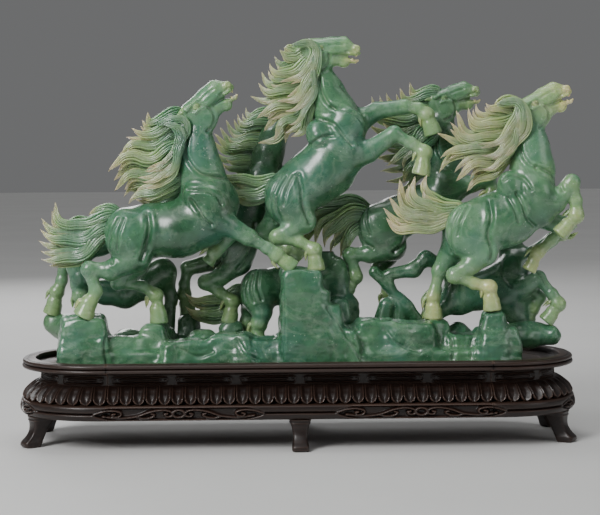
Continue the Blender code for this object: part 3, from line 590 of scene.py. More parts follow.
# In millimetres. Trunk, neck and "more" (any further stone) are limbs of points (x, y, z, radius). A head
# is (poll, turn up in degrees, size, depth, facing). A muscle is (centre, radii, turn, blend). The last
# point of a leg is the middle of its sole, with the hoof's radius. An engraved line is (depth, width,
# points in the upright plane).
HORSES = {
    "horse_front_left": {
        "trunk": (
            (-167, -30, 210, 23), (-143, -30, 210, 25), (-116, -30, 212, 26), (-92, -30, 222, 27),
            (-82, -30, 236, 25),
        ),
        "neck": ((-90, -30, 246, 25), (-94, -30, 266, 21), (-97, -30, 286, 17), (-97, -30, 304, 14)),
        "head": ((-115, -30, 329), 40, 0.98, 1.0, 1),
        "muscles": (
            ((-165, -42, 202), (21, 16, 30), 12, 6),
            ((-165, -20, 202), (20, 14, 28), 12, 6),
            ((-88, -44, 240), (25, 14, 15), -22, 4),
            ((-88, -17, 240), (23, 12, 15), -22, 4),
            ((-84, -47, 224), (20, 11, 12), -30, 3),
            ((-118, -34, 208), (27, 24, 23), 0, 8),
        ),
        "legs": (
            (
                (-164, -40, 200, 20), (-158, -44, 184, 14), (-182, -46, 172, 10), (-203, -46, 173, 8),
                (-197, -46, 152, 6.2), (-203, -46, 140, 6.6), (-210, -46, 127, 11),
            ),
            (
                (-158, -20, 200, 18), (-160, -16, 176, 12), (-178, -16, 158, 7.5),
                (-154, -16, 154, 5.4), (-140, -16, 145, 6), (-138, -16, 117, 9.5),
            ),
            (
                (-86, -42, 226, 15), (-70, -44, 216, 11), (-48, -43, 203, 8.2), (-30, -41, 192, 5.8),
                (-20, -40, 186, 6.2), (-5, -39, 172, 8.5),
            ),
            (
                (-88, -18, 224, 12), (-62, -12, 208, 7.5), (-76, -11, 192, 5.4), (-82, -10, 186, 5.8),
                (-90, -10, 176, 7),
            ),
        ),
        "lines": (
            (2.4, 1.5, ((-108, 300), (-109, 284), (-104, 274), (-94, 265), (-80, 262), (-63, 259))),
            (1.8, 1.5, ((-107, 250), (-90, 249), (-78, 243), (-74, 236))),
            (2.0, 1.5, ((-104, 240), (-96, 230), (-91, 222), (-84, 216))),
            (2.6, 2.2, ((-146, 226), (-144, 214), (-146, 198), (-151, 183))),
            (1.4, 1.3, ((-174, 222), (-181, 208), (-184, 192), (-180, 180))),
            (1.1, 1.2, ((-168, 222), (-173, 208), (-175, 192))),
            (1.2, 1.2, ((-80, 300), (-78, 286), (-70, 272))),
        ),
    },
    "horse_centre": {
        "trunk": ((-10, -5, 244, 23), (10, -4, 256, 26), (30, -4, 270, 28), (42, -4, 290, 26)),
        "neck": ((42, -4, 306, 25), (38, -4, 324, 21), (31, -4, 344, 16), (24, -4, 362, 13)),
        "head": ((9, -4, 396), 3, 0.98, 0.86, 1),
        "muscles": (
            ((-9, -17, 238), (22, 15, 25), -10, 6),
            ((-9, 6, 238), (21, 14, 24), -10, 6),
            ((48, -17, 312), (19, 14, 18), -30, 4),
            ((48, 8, 312), (19, 13, 18), -30, 4),
            ((22, -16, 302), (13, 12, 16), 20, 4),
            ((46, -20, 290), (16, 11, 20), 24, 3),
            ((18, -8, 256), (25, 24, 22), 30, 8),
        ),
        "legs": (
            (
                (-2, -16, 232, 19), (5, -20, 218, 13), (-8, -21, 209, 9.5), (-20, -22, 202, 8),
                (2, -23, 197, 5.8), (17, -24, 189, 6.4), (18, -24, 169, 9),
            ),
            (
                (-14, 6, 234, 16), (-22, 11, 218, 11), (-34, 12, 206, 8), (-20, 12, 194, 5.6),
                (-8, 12, 190, 6), (4, 12, 178, 8),
            ),
            (
                (54, -14, 280, 14), (70, -16, 285, 10.5), (96, -16, 303, 7.8), (112, -16, 294, 6),
                (127, -16, 284, 6.6), (122, -16, 262, 9.5),
            ),
            (
                (56, 2, 312, 13), (80, 2, 326, 8.6), (108, 2, 330, 7.4), (122, 2, 328, 6.2),
                (131, 2, 322, 6.6), (137, 2, 302, 9.5),
            ),
        ),
        "lines": (
            (2.2, 1.5, ((22, 360), (24, 346), (30, 334), (38, 328))),
            (2.0, 1.5, ((34, 330), (50, 326), (62, 318), (70, 304))),
            (2.0, 1.5, ((10, 318), (22, 318), (36, 312), (44, 302), (54, 292))),
            (1.8, 1.5, ((12, 292), (24, 300), (36, 302))),
            (2.4, 2.2, ((0, 262), (4, 248), (6, 232), (12, 216))),
            (1.1, 1.1, ((-16, 262), (-24, 248), (-27, 232), (-22, 216))),
            (1.1, 1.1, ((-10, 262), (-18, 248), (-21, 232), (-16, 218))),
            (1.1, 1.1, ((-4, 262), (-11, 248), (-14, 234))),
            (1.1, 1.2, ((44, 350), (54, 338), (66, 322))),
        ),
    },
    "horse_front_right": {
        "trunk": ((168, -26, 211, 23), (188, -27, 215, 26), (208, -28, 221, 27), (226, -28, 234, 25)),
        "neck": ((230, -28, 250, 24), (231, -28, 268, 21), (231, -28, 288, 16), (230, -28, 306, 13)),
        "head": ((216, -28, 333), 29, 0.94, 0.95, 1),
        "muscles": (
            ((167, -38, 207), (22, 15, 28), 4, 6),
            ((167, -16, 207), (21, 14, 27), 4, 6),
            ((234, -41, 244), (16, 13, 20), 20, 4),
            ((234, -16, 244), (16, 12, 20), 20, 4),
            ((208, -38, 250), (13, 12, 16), 10, 4),
            ((222, -42, 228), (12, 10, 18), 12, 3),
            ((196, -30, 214), (25, 24, 23), 10, 8),
        ),
        "legs": (
            (
                (172, -34, 198, 19), (182, -40, 186, 12.5), (168, -41, 174, 9.5), (153, -41, 164, 8.2),
                (172, -40, 156, 5.8), (188, -40, 152, 6.4), (190, -40, 129, 9.2),
            ),
            (
                (160, -14, 196, 17), (150, -10, 180, 10.5), (141, -10, 166, 7.5), (137, -10, 148, 5.6),
                (136, -10, 140, 6), (135, -10, 118, 9.5),
            ),
            (
                (240, -36, 226, 14), (252, -38, 234, 10), (268, -39, 254, 8), (272, -39, 236, 6.2),
                (273, -39, 221, 6.6), (255, -39, 203, 8.5),
            ),
            (
                (236, -16, 222, 13), (252, -13, 215, 9), (270, -12, 212, 7.2), (252, -12, 196, 5.4),
                (240, -12, 184, 6), (230, -12, 166, 7.5),
            ),
        ),
        "lines": (
            (2.2, 1.5, ((218, 306), (217, 290), (222, 276), (232, 268))),
            (2.0, 1.5, ((232, 270), (246, 264), (254, 256), (258, 246))),
            (1.8, 1.4, ((200, 258), (208, 262), (220, 258), (226, 248))),
            (1.8, 1.4, ((212, 244), (218, 232), (222, 220), (230, 212))),
            (1.5, 1.4, ((204, 240), (210, 228), (214, 216))),
            (2.6, 2.2, ((186, 236), (187, 220), (184, 204), (189, 190), (187, 180))),
            (1.5, 1.2, ((158, 230), (150, 216), (147, 200), (152, 186))),
            (1.1, 1.1, ((166, 232), (158, 218), (155, 204))),
            (1.1, 1.2, ((246, 296), (252, 280), (256, 264))),
        ),
    },
    "horse_back_right": {
        "trunk": ((84, 36, 211, 22), (106, 36, 219, 21), (130, 36, 229, 21), (148, 36, 242, 20)),
        "neck": ((150, 36, 258, 19), (151, 36, 276, 17), (150, 36, 298, 15), (148, 36, 318, 13)),
        "head": ((136, 36, 344), 19, 0.9, 0.95, 1),
        "muscles": (
            ((86, 26, 207), (24, 14, 26), -20, 6),
            ((86, 46, 207), (22, 13, 25), -20, 6),
            ((152, 26, 246), (15, 10, 20), 10, 4),
            ((152, 46, 246), (15, 10, 20), 10, 4),
        ),
        "legs": (
            (
                (92, 30, 200, 18), (98, 26, 188, 13), (74, 25, 182, 9.5), (54, 24, 181, 7.8),
                (58, 24, 166, 5.8), (60, 24, 158, 6.4), (46, 24, 139, 9),
            ),
            (
                (84, 44, 196, 16), (94, 49, 178, 10.5), (84, 50, 164, 7.6), (92, 50, 150, 5.5),
                (96, 50, 140, 6), (98, 50, 119, 9),
            ),
            (
                (158, 30, 246, 13), (178, 26, 252, 8.5), (196, 26, 257, 7.4), (200, 26, 246, 5.6),
                (199, 26, 240, 6), (190, 26, 228, 7.5),
            ),
            (
                (156, 44, 246, 13), (176, 50, 252, 8.5), (196, 50, 255, 7.4), (202, 50, 246, 5.6),
                (202, 50, 240, 6), (194, 50, 226, 7.5),
            ),
        ),
        "lines": (
            (1.6, 1.4, ((64, 226), (62, 212), (66, 196), (76, 188))),
            (1.2, 1.2, ((72, 230), (70, 216), (74, 202))),
            (2.2, 2.0, ((108, 228), (112, 210), (110, 194), (98, 184))),
            (1.8, 1.4, ((142, 300), (144, 284), (152, 272))),
        ),
    },
    "horse_back_left": {
        "trunk": ((-60, 38, 198, 21), (-54, 38, 214, 21), (-46, 38, 234, 20), (-37, 38, 254, 18)),
        "neck": ((-33, 38, 266, 17), (-28, 38, 286, 15), (-22, 38, 304, 13), (-14, 38, 316, 12)),
        "head": ((-22, 40, 335), -12, 0.86, 0.9, 1),
        "muscles": (
            ((-60, 28, 194), (20, 13, 24), 10, 6),
            ((-60, 48, 194), (20, 12, 24), 10, 6),
            ((-36, 28, 254), (14, 10, 20), 16, 4),
            ((-36, 48, 254), (14, 10, 20), 16, 4),
        ),
        "legs": (
            (
                (-62, 30, 188, 17), (-60, 27, 174, 13), (-78, 26, 160, 9.5), (-93, 26, 154, 7.8),
                (-78, 26, 143, 5.8), (-65, 26, 134, 6.4), (-70, 26, 112, 9),
            ),
            (
                (-64, 46, 190, 16), (-84, 50, 174, 10), (-112, 50, 167, 7.6), (-116, 50, 150, 5.6),
                (-115, 50, 140, 6), (-112, 50, 117, 9),
            ),
            (
                (-26, 32, 252, 12), (-4, 36, 250, 8.5), (13, 36, 252, 7.2), (10, 36, 238, 5.6),
                (8, 36, 232, 6), (0, 36, 218, 7.5),
            ),
            (
                (-26, 46, 258, 12), (0, 52, 264, 8.5), (20, 52, 271, 7.2), (32, 52, 260, 5.6),
                (35, 52, 254, 6), (37, 52, 238, 7.5),
            ),
        ),
        "lines": (
            (1.6, 1.3, ((-78, 212), (-82, 198), (-80, 184), (-90, 168))),
            (1.6, 1.3, ((-70, 212), (-74, 198), (-72, 184), (-80, 170))),
            (2.0, 1.8, ((-42, 214), (-42, 198), (-48, 182), (-60, 168))),
        ),
    },
    "horse_far_left": {
        "trunk": ((-198, 34, 208, 18), (-176, 34, 209, 19), (-152, 34, 211, 19), (-134, 34, 220, 17)),
        "more": (
            (
                (-218, 28, 150, 8), (-196, 36, 144, 12), (-176, 38, 142, 14), (-156, 38, 153, 16),
                (-138, 38, 164, 15),
            ),
            ((-136, 40, 160, 11), (-129, 42, 138, 5.5), (-134, 42, 106, 8.5)),
        ),
        "neck": ((-128, 34, 234, 15), (-122, 34, 256, 13), (-120, 36, 276, 12), (-118, 38, 292, 11)),
        "head": ((-130, 38, 312), 24, 0.78, 0.95, 1),
        "muscles": (
            ((-199, 26, 204), (18, 11, 22), 8, 5),
            ((-219, 22, 160), (11, 9, 13), 0, 4),
            ((-199, 44, 204), (18, 11, 22), 8, 5),
            ((-134, 26, 222), (14, 9, 16), 0, 4),
            ((-134, 44, 222), (14, 9, 16), 0, 4),
        ),
        "legs": (
            (
                (-206, 28, 198, 15), (-216, 25, 186, 11), (-224, 24, 170, 9.5), (-222, 24, 152, 7.5),
                (-219, 24, 142, 7), (-216, 24, 121, 9.5),
            ),
            (
                (-206, 40, 200, 14), (-224, 44, 188, 10), (-238, 43, 176, 7.8), (-241, 42, 156, 5.8),
                (-245, 42, 144, 6.2), (-252, 42, 121, 9.5),
            ),
            (
                (-128, 28, 214, 12), (-110, 22, 215, 8.5), (-95, 22, 222, 7.4), (-93, 22, 210, 6),
                (-94, 22, 194, 8),
            ),
            (
                (-128, 42, 218, 12), (-108, 50, 226, 8.5), (-94, 50, 234, 7.4), (-92, 50, 222, 6),
                (-92, 50, 206, 8),
            ),
        ),
        "lines": (
            (1.4, 1.3, ((-214, 216), (-218, 202), (-214, 188))),
            (1.8, 1.8, ((-182, 220), (-180, 204), (-186, 192))),
        ),
    },
    "horse_low_left": {
        "trunk": ((-38, 22, 148, 19), (-18, 25, 150, 18), (2, 27, 151, 17), (15, 30, 150, 15)),
        "neck": ((18, 36, 150, 13), (24, 42, 146, 12), (28, 47, 142, 10)),
        "head": ((24, 50, 150), -48, 0.72, 0.95, 1),
        "muscles": (
            ((-39, 16, 146), (17, 14, 22), 0, 5),
            ((-41, 32, 146), (17, 13, 21), 0, 5),
        ),
        "legs": (
            ((-39, 15, 138, 15), (-36, 12, 124, 10), (-38, 12, 112, 7), (-42, 12, 93, 8.5)),
            ((-44, 30, 138, 14), (-49, 35, 124, 8.5), (-50, 36, 112, 6.6), (-50, 36, 94, 8.5)),
            ((8, 20, 142, 9.5), (14, 16, 132, 7), (8, 14, 122, 6), (0, 14, 108, 7)),
            ((6, 38, 142, 9.5), (2, 42, 132, 7), (-4, 42, 122, 6), (-10, 42, 108, 7)),
        ),
        "lines": (
            (1.5, 1.2, ((-50, 160), (-54, 148), (-52, 136))),
            (1.5, 1.2, ((-44, 164), (-47, 150), (-44, 136))),
            (1.5, 1.2, ((-38, 166), (-40, 152), (-36, 138))),
        ),
    },
    "horse_low_right": {
        "trunk": ((166, 24, 138, 17), (186, 24, 143, 18), (206, 24, 151, 18), (220, 24, 164, 17)),
        "more": (
            ((206, 22, 150, 17), (213, 20, 134, 15), (222, 18, 122, 12), (228, 16, 112, 9)),
            (
                (160, 20, 148, 9), (152, 14, 168, 7), (130, 14, 178, 6.6), (118, 14, 166, 7),
                (94, 14, 162, 6),
            ),
            ((78, 14, 164, 6), (92, 14, 150, 5), (106, 14, 132, 5), (104, 14, 112, 7)),
            ((104, 14, 137, 4.5), (112, 14, 128, 5), (122, 14, 114, 6.5)),
            ((90, 14, 130, 8), (86, 14, 112, 10)),
        ),
        "neck": ((221, 27, 180, 14), (215, 32, 196, 12), (208, 36, 206, 11)),
        "head": ((214, 38, 226), -6, 0.8, 0.9, -1),
        "muscles": (
            ((166, 16, 138), (18, 11, 18), 0, 5),
            ((166, 32, 138), (18, 11, 18), 0, 5),
            ((220, 16, 166), (14, 10, 18), 0, 5),
            ((220, 34, 166), (14, 10, 18), 0, 5),
        ),
        "legs": (
            (
                (208, 12, 136, 13), (224, 8, 146, 9.5), (243, 6, 157, 7.6), (257, 5, 141, 5.8),
                (264, 5, 130, 6.4), (250, 5, 113, 8.5),
            ),
            (
                (226, 20, 132, 10), (238, 18, 144, 7), (247, 18, 136, 5.6), (240, 18, 124, 5.6),
                (234, 18, 110, 7.5),
            ),
            (
                (226, 28, 170, 12), (240, 18, 181, 8), (257, 8, 196, 6.8), (266, 2, 203, 6),
                (276, -3, 214, 7),
            ),
            ((158, 16, 134, 13), (148, 12, 127, 8), (140, 12, 120, 7), (134, 12, 110, 7.5)),
            ((158, 34, 134, 13), (148, 38, 127, 8), (141, 38, 120, 7), (136, 38, 110, 7.5)),
        ),
        "lines": (
            (1.4, 1.3, ((206, 176), (206, 160), (214, 148))),
            (1.2, 1.3, ((236, 166), (246, 158), (252, 146))),
        ),
    },
}

# Hair, in millimetres. A fan is (number of locks, the depths they take in turn, lock radius, guide locks
# in the upright plane, root first); the locks between two guides are worked out by make_locks.
HAIR = {
    "horse_front_left": {
        "mane": (
            (12, (-32, -26, -36, -28), 5.6, (
                ((-116, 325), (-132, 321), (-144, 315), (-150, 323)),
                ((-117, 312), (-138, 302), (-154, 298), (-166, 298)),
                ((-116, 298), (-144, 285), (-168, 287), (-187, 277)),
                ((-116, 280), (-142, 264), (-162, 262), (-181, 251)),
                ((-115, 256), (-128, 244), (-142, 240), (-158, 235)),
            )),
            (5, (-43, -45), 4.5, (
                ((-130, 315), (-114, 320), (-109, 305), (-122, 284), (-143, 266)),
                ((-112, 310), (-117, 290), (-130, 270), (-152, 258)),
                ((-112, 292), (-118, 273), (-131, 256), (-147, 247)),
            )),
            (3, (-20,), 6, (
                ((-117, 308), (-144, 296), (-166, 293), (-176, 287)),
                ((-116, 269), (-135, 256), (-155, 249), (-167, 246)),
            )),
        ),
        "tail": (
            (8, (-35, -28, -33), 6.3, (
                ((-178, 226), (-202, 220), (-227, 216), (-241, 236)),
                ((-181, 218), (-206, 208), (-232, 206), (-254, 215)),
                ((-186, 211), (-206, 194), (-230, 190), (-255, 188)),
                ((-190, 207), (-202, 190), (-218, 181), (-244, 171)),
            )),
            (2, (-30,), 5, (
                ((-176, 227), (-188, 231), (-205, 231)),
                ((-182, 220), (-202, 205), (-216, 177)),
            )),
        ),
    },
    "horse_centre": {
        "mane": (
            (2, (-17, -16), 4.5, (
                ((2, 391), (12, 391), (18, 383), (13, 371), (0, 360), (-14, 350)),
                ((6, 392), (18, 389), (23, 376), (17, 362), (6, 349), (-8, 334)),
            )),
            (12, (-4, -8, -1, -10), 5.7, (
                ((10, 391), (1, 387), (-7, 388), (-14, 386)),
                ((8, 380), (-4, 372), (-15, 368), (-25, 376)),
                ((12, 367), (-6, 352), (-26, 349), (-40, 358)),
                ((15, 352), (-6, 336), (-26, 334), (-46, 328)),
                ((15, 340), (0, 322), (-17, 314), (-30, 300)),
                ((15, 329), (9, 316), (4, 305), (-2, 297)),
            )),
            (3, (-17,), 4.5, (
                ((16, 378), (12, 358), (2, 343), (-17, 331)),
                ((17, 358), (14, 339), (7, 323), (-3, 310)),
            )),
            (3, (4, 5), 6, (
                ((10, 373), (-8, 355), (-24, 348), (-34, 344)),
                ((16, 337), (0, 318), (-15, 304), (-35, 291)),
            )),
        ),
        "tail": (
            (4, (4, 8), 6, (
                ((-23, 260), (-45, 257), (-63, 260), (-83, 263)),
                ((-25, 244), (-41, 239), (-54, 235), (-64, 236)),
            )),
        ),
    },
    "horse_front_right": {
        "mane": (
            (2, (-41, -42), 4.5, (
                ((200, 331), (214, 331), (218, 320), (211, 305), (197, 293), (180, 284)),
                ((205, 334), (220, 330), (225, 316), (218, 299), (206, 283), (190, 271)),
            )),
            (11, (-28, -32, -25, -33), 5.6, (
                ((219, 332), (208, 335), (199, 331), (190, 327)),
                ((214, 324), (197, 318), (182, 320), (173, 328)),
                ((213, 314), (191, 305), (168, 304), (152, 322)),
                ((211, 303), (189, 293), (164, 294), (138, 298)),
                ((210, 294), (188, 283), (160, 284), (136, 268)),
                ((208, 276), (196, 266), (182, 259), (165, 250)),
            )),
            (3, (-42, -41), 4.5, (
                ((215, 329), (210, 311), (197, 297), (178, 287)),
                ((213, 304), (207, 286), (197, 274), (182, 264)),
            )),
            (3, (-20,), 6, (
                ((215, 321), (195, 308), (176, 302), (163, 300)),
                ((211, 284), (195, 272), (180, 263), (171, 256)),
            )),
        ),
        "tail": (
            (6, (-26, -31), 6, (
                ((158, 232), (139, 236), (127, 244), (123, 262)),
                ((154, 227), (125, 227), (107, 239), (100, 262)),
                ((151, 222), (120, 218), (98, 224), (82, 231)),
                ((148, 215), (120, 209), (98, 210), (82, 217)),
            )),
        ),
    },
    "horse_back_right": {
        "mane": (
            (12, (36, 32, 39), 5, (
                ((143, 347), (131, 347), (121, 346), (113, 352)),
                ((137, 338), (112, 332), (97, 331), (87, 341)),
                ((139, 324), (112, 318), (88, 320), (70, 338)),
                ((139, 308), (115, 300), (95, 297), (75, 299)),
                ((139, 290), (120, 280), (102, 270), (84, 262)),
                ((140, 274), (130, 263), (117, 252), (104, 242)),
            )),
            (2, (23,), 5.5, (
                ((139, 314), (122, 300), (108, 284), (94, 268)),
                ((140, 300), (126, 284), (114, 270), (104, 254)),
            )),
        ),
        "tail": (
            (4, (33, 27), 6, (
                ((73, 226), (56, 226), (38, 221), (22, 208), (14, 194)),
                ((73, 214), (60, 204), (50, 193), (40, 180)),
            )),
            (2, (40, 44), 7, (
                ((72, 230), (50, 236), (28, 232), (6, 222), (-8, 206)),
                ((72, 222), (48, 224), (26, 214), (8, 200), (0, 184)),
            )),
        ),
    },
    "horse_back_left": {
        "mane": (
            (9, (38, 34, 41), 5.2, (
                ((-20, 325), (-36, 325), (-47, 323), (-54, 328)),
                ((-25, 305), (-50, 300), (-66, 301), (-80, 310)),
                ((-28, 290), (-51, 285), (-71, 286), (-90, 291)),
                ((-33, 268), (-47, 261), (-60, 257), (-70, 258)),
            )),
        ),
        "tail": (
            (2, (35, 40), 5, (
                ((-60, 199), (-76, 197), (-89, 189), (-95, 178)),
                ((-62, 190), (-76, 186), (-86, 178), (-91, 168)),
            )),
        ),
    },
    "horse_far_left": {
        "mane": (
            (5, (38, 35, 41), 5, (
                ((-120, 303), (-132, 305), (-142, 302), (-153, 305)),
                ((-124, 286), (-141, 284), (-153, 280), (-166, 280)),
                ((-126, 267), (-141, 261), (-152, 256), (-164, 254)),
            )),
        ),
        "tail": (
            (2, (35, 41), 5, (
                ((-206, 216), (-223, 216), (-235, 210), (-245, 202)),
                ((-207, 210), (-221, 208), (-232, 200), (-240, 189)),
            )),
        ),
    },
    "horse_low_left": {
        "tail": (
            (4, (30, 36), 5, (
                ((-60, 148), (-78, 139), (-96, 135), (-115, 138)),
                ((-63, 129), (-79, 117), (-94, 114), (-114, 118)),
            )),
        ),
    },
    "horse_low_right": {
        "mane": (
            (3, (35, 41), 4, (
                ((202, 233), (208, 225), (215, 213), (221, 203)),
                ((208, 219), (217, 209), (223, 196), (229, 184)),
            )),
        ),
        "tail": (
            (2, (30, 35), 4.5, (
                ((150, 142), (138, 140), (130, 134), (124, 126)),
                ((151, 135), (141, 131), (134, 125), (130, 117)),
            )),
        ),
    },
}


# ---------------------------------------------------------------- rocks

STONE_FOOT = 78.3
ROCK_TINT = 0.26

# Blocks of rock: centre x and y, half length, half depth, top height, taper, turn in degrees.
BLOCKS = (
    (-211, -30, 25, 27, 127, 0.84, 4),
    (-214, 6, 24, 22, 120, 0.85, -8),
    (-218, 36, 22, 18, 121, 0.85, 6),
    (-172, -24, 24, 22, 106, 0.75, 12),
    (-143, -20, 18, 20, 117, 0.62, -6),
    (-112, -30, 26, 24, 102, 0.8, 8),
    (-66, -30, 27, 24, 108, 0.7, -10),
    (-30, -30, 22, 22, 104, 0.75, 6),
    (3, -32, 21, 25, 171, 0.94, 2),
    (9, -32, 24, 25, 152, 0.86, 0),
    (16, -31, 30, 25, 136, 0.84, 0),
    (24, -30, 38, 25, 114, 0.86, -2),
    (42, 6, 14, 16, 138, 0.7, 6),
    (76, -22, 24, 22, 120, 0.8, 5),
    (110, -20, 28, 24, 117, 0.85, -4),
    (138, -14, 16, 18, 118, 0.75, 6),
    (162, -18, 18, 20, 104, 0.8, -5),
    (190, -36, 15, 17, 129, 0.62, 6),
    (196, -26, 21, 26, 112, 0.8, 10),
)
# Rounder rocks behind: centre x and y, radius at the foot, radius at the top, top height.
MOUNDS = (
    (-172, 24, 22, 18, 104),
    (-142, 28, 24, 18, 110),
    (-112, 46, 18, 13, 117),
    (-96, 12, 26, 20, 102),
    (-68, 26, 18, 13, 112),
    (-44, 20, 24, 18, 95),
    (2, 20, 26, 20, 108),
    (50, 22, 18, 12, 138),
    (40, 24, 17, 12, 176),
    (28, 30, 15, 11, 190),
    (78, 30, 24, 18, 110),
    (98, 44, 20, 13, 119),
    (124, 24, 24, 18, 109),
    (162, 20, 22, 18, 105),
    (196, 2, 24, 19, 106),
)
LEDGES = (
    ((-224, 38, 98, 16), (-240, 41, 108, 12), (-251, 42, 112, 10)),
    ((204, 4, 94, 15), (230, 6, 100, 13), (254, 6, 100, 11)),
)
# The low bed that all rocks rise from, given as a block.
ROCK_BED = (-15, 0, 221, 50, 92, 0.97, 0)


def add_block(grid, x0, y0, half_x, half_y, top, taper, turn):
    """A rounded block that narrows upwards."""
    reach = max(half_x, half_y) * 1.5 + 8
    low = np.array([x0 - reach, y0 - reach, STONE_FOOT - 8])
    high = np.array([x0 + reach, y0 + reach, top + 8])
    part, x, y, z = grid.window(low, high)
    c, s = math.cos(math.radians(turn)), math.sin(math.radians(turn))
    share = np.clip((z - STONE_FOOT) / (top - STONE_FOOT), 0, 1)
    narrow = 1 - (1 - taper) * share**1.5
    dx, dy = x - x0, y - y0
    edge = 5.0
    u = np.abs(dx * c + dy * s) - half_x * narrow + edge
    v = np.abs(dy * c - dx * s) - half_y * narrow + edge
    w = z - top + edge + 0 * u
    block = np.sqrt(np.maximum(u, 0) ** 2 + np.maximum(v, 0) ** 2 + np.maximum(w, 0) ** 2) - edge
    block += np.minimum(np.maximum(np.maximum(u, v), w), 0)
    grid.join(part, block, 5, ROCK_TINT)


def ripple(x, y, z, rng, waves, longest, shortest):
    """Smooth seeded unevenness, about -1 to 1."""
    total = 0.0
    for _ in range(waves):
        way = rng.normal(size=3)
        way /= np.linalg.norm(way)
        length = shortest + (longest - shortest) * rng.random()
        along = x * way[0] + y * way[1] + z * way[2]
        total = total + np.sin(along * 2 * math.pi / length + 6.3 * rng.random())
    return total / math.sqrt(waves)


def make_rocks(material):
    """All rocks as one skin, uneven and with cracks, flat where they stand on the panel."""
    grid = Grid((-272, -76, STONE_FOOT - 6), (276, 72, 184), ROCK_VOXEL)
    for block in BLOCKS:
        add_block(grid, *block)
    for x, y, foot, crown, height in MOUNDS:
        grid.add_limb((x, y, STONE_FOOT), (x, y, height - crown * 0.7), foot, crown, 6, ROCK_TINT)
    for ledge in LEDGES:
        add_chain(grid, ledge, 6, LIMB, 1.0)
    add_block(grid, *ROCK_BED)
    part, x, y, z = grid.window(grid.low, grid.low + grid.voxel * grid.counts)
    rng = np.random.default_rng(5)
    grid.distance += 1.1 * ripple(x, y, z, rng, 7, 46, 20) + 0.35 * ripple(x, y, z, rng, 6, 14, 7)
    grid.distance = np.maximum(grid.distance, STONE_FOOT - z)
    points, quads, tint = grid.skin()
    lines = [
        (2.0, 1.8, ((-186, 80), (-188, 100), (-184, 112))),
        (1.2, 1.2, ((-17, 84), (-15, 120), (-16, 162))),
        (1.6, 1.6, ((60, 84), (52, 98), (40, 118), (28, 134))),
        (1.6, 1.6, ((150, 82), (152, 96), (149, 106))),
        (1.3, 1.3, ((168, 84), (170, 98), (175, 110))),
        (1.2, 1.4, ((-60, 104), (-52, 92), (-40, 84))),
        (1.2, 1.4, ((-120, 98), (-100, 88), (-84, 92))),
        (1.2, 1.4, ((84, 112), (96, 98), (118, 90))),
    ]
    points = engrave(points, quads, lines)
    rocks = new_piece("rock_bank", points, quads, material, tint)
    nodes = [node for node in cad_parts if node.startswith("rock_")]
    finish_piece(rocks, "carving", "jade", *nodes)


# ---------------------------------------------------------------- stand

# The line round the stand that all its faces are measured from: half its length and depth, its corners'
# radius, half the length of a long-side part, and the middle of a corner (ALONG, ACROSS).
HALF_LENGTH, HALF_DEPTH, CORNER = 275.0, 84.0, 80.0
STRAIGHT = 185.0
ALONG, ACROSS = HALF_LENGTH - CORNER, HALF_DEPTH - CORNER
# How long the line is round one end, and round half the stand.
END_RUN = 2 * (ALONG - STRAIGHT) + math.pi * CORNER + 2 * ACROSS
HALF_ROUND = 2 * STRAIGHT + END_RUN
# How far in the back of a rail lies, and how far each rail stops short of its joint.
RAIL_BACK = 32.0
GAP = 0.15


def rail_route(part, spacing):
    """Places and outward directions along one rail of the stand, with the run from the front's middle."""
    if part in ("front", "back"):
        run = np.linspace(-STRAIGHT + GAP, STRAIGHT - GAP, int(2 * STRAIGHT / spacing))
        place = np.stack([run, np.full(len(run), -HALF_DEPTH)], axis=1)
        out = np.tile([0.0, -1.0], (len(run), 1))
    else:
        run = np.linspace(STRAIGHT + GAP, STRAIGHT + END_RUN - GAP, int(END_RUN / spacing))
        place, out = np.zeros((len(run), 2)), np.zeros((len(run), 2))
        first = ALONG - STRAIGHT
        bend = math.pi / 2 * CORNER
        for i, s in enumerate(run - STRAIGHT):
            if s < first or s > END_RUN - first:
                sign = -1 if s < first else 1
                far = s if s < first else END_RUN - s
                place[i], out[i] = (STRAIGHT + far, sign * HALF_DEPTH), (0, sign)
            elif s < first + bend or s > END_RUN - first - bend:
                sign = -1 if s < first + bend else 1
                angle = (s - first if sign < 0 else END_RUN - first - s) / CORNER
                out[i] = (math.sin(angle), sign * math.cos(angle))
                place[i] = (ALONG + CORNER * out[i][0], sign * ACROSS + CORNER * out[i][1])
            else:
                place[i], out[i] = (HALF_LENGTH, s - first - bend - ACROSS), (1, 0)
    if part in ("back", "left"):
        place, out = -place, -out
        run = run + HALF_ROUND
    return place, out, run


def folded(run):
    """The run measured from the nearer long side's middle: 0 there, greatest at the stand's ends."""
    run = np.abs(run) % HALF_ROUND
    return np.minimum(run, HALF_ROUND - run)


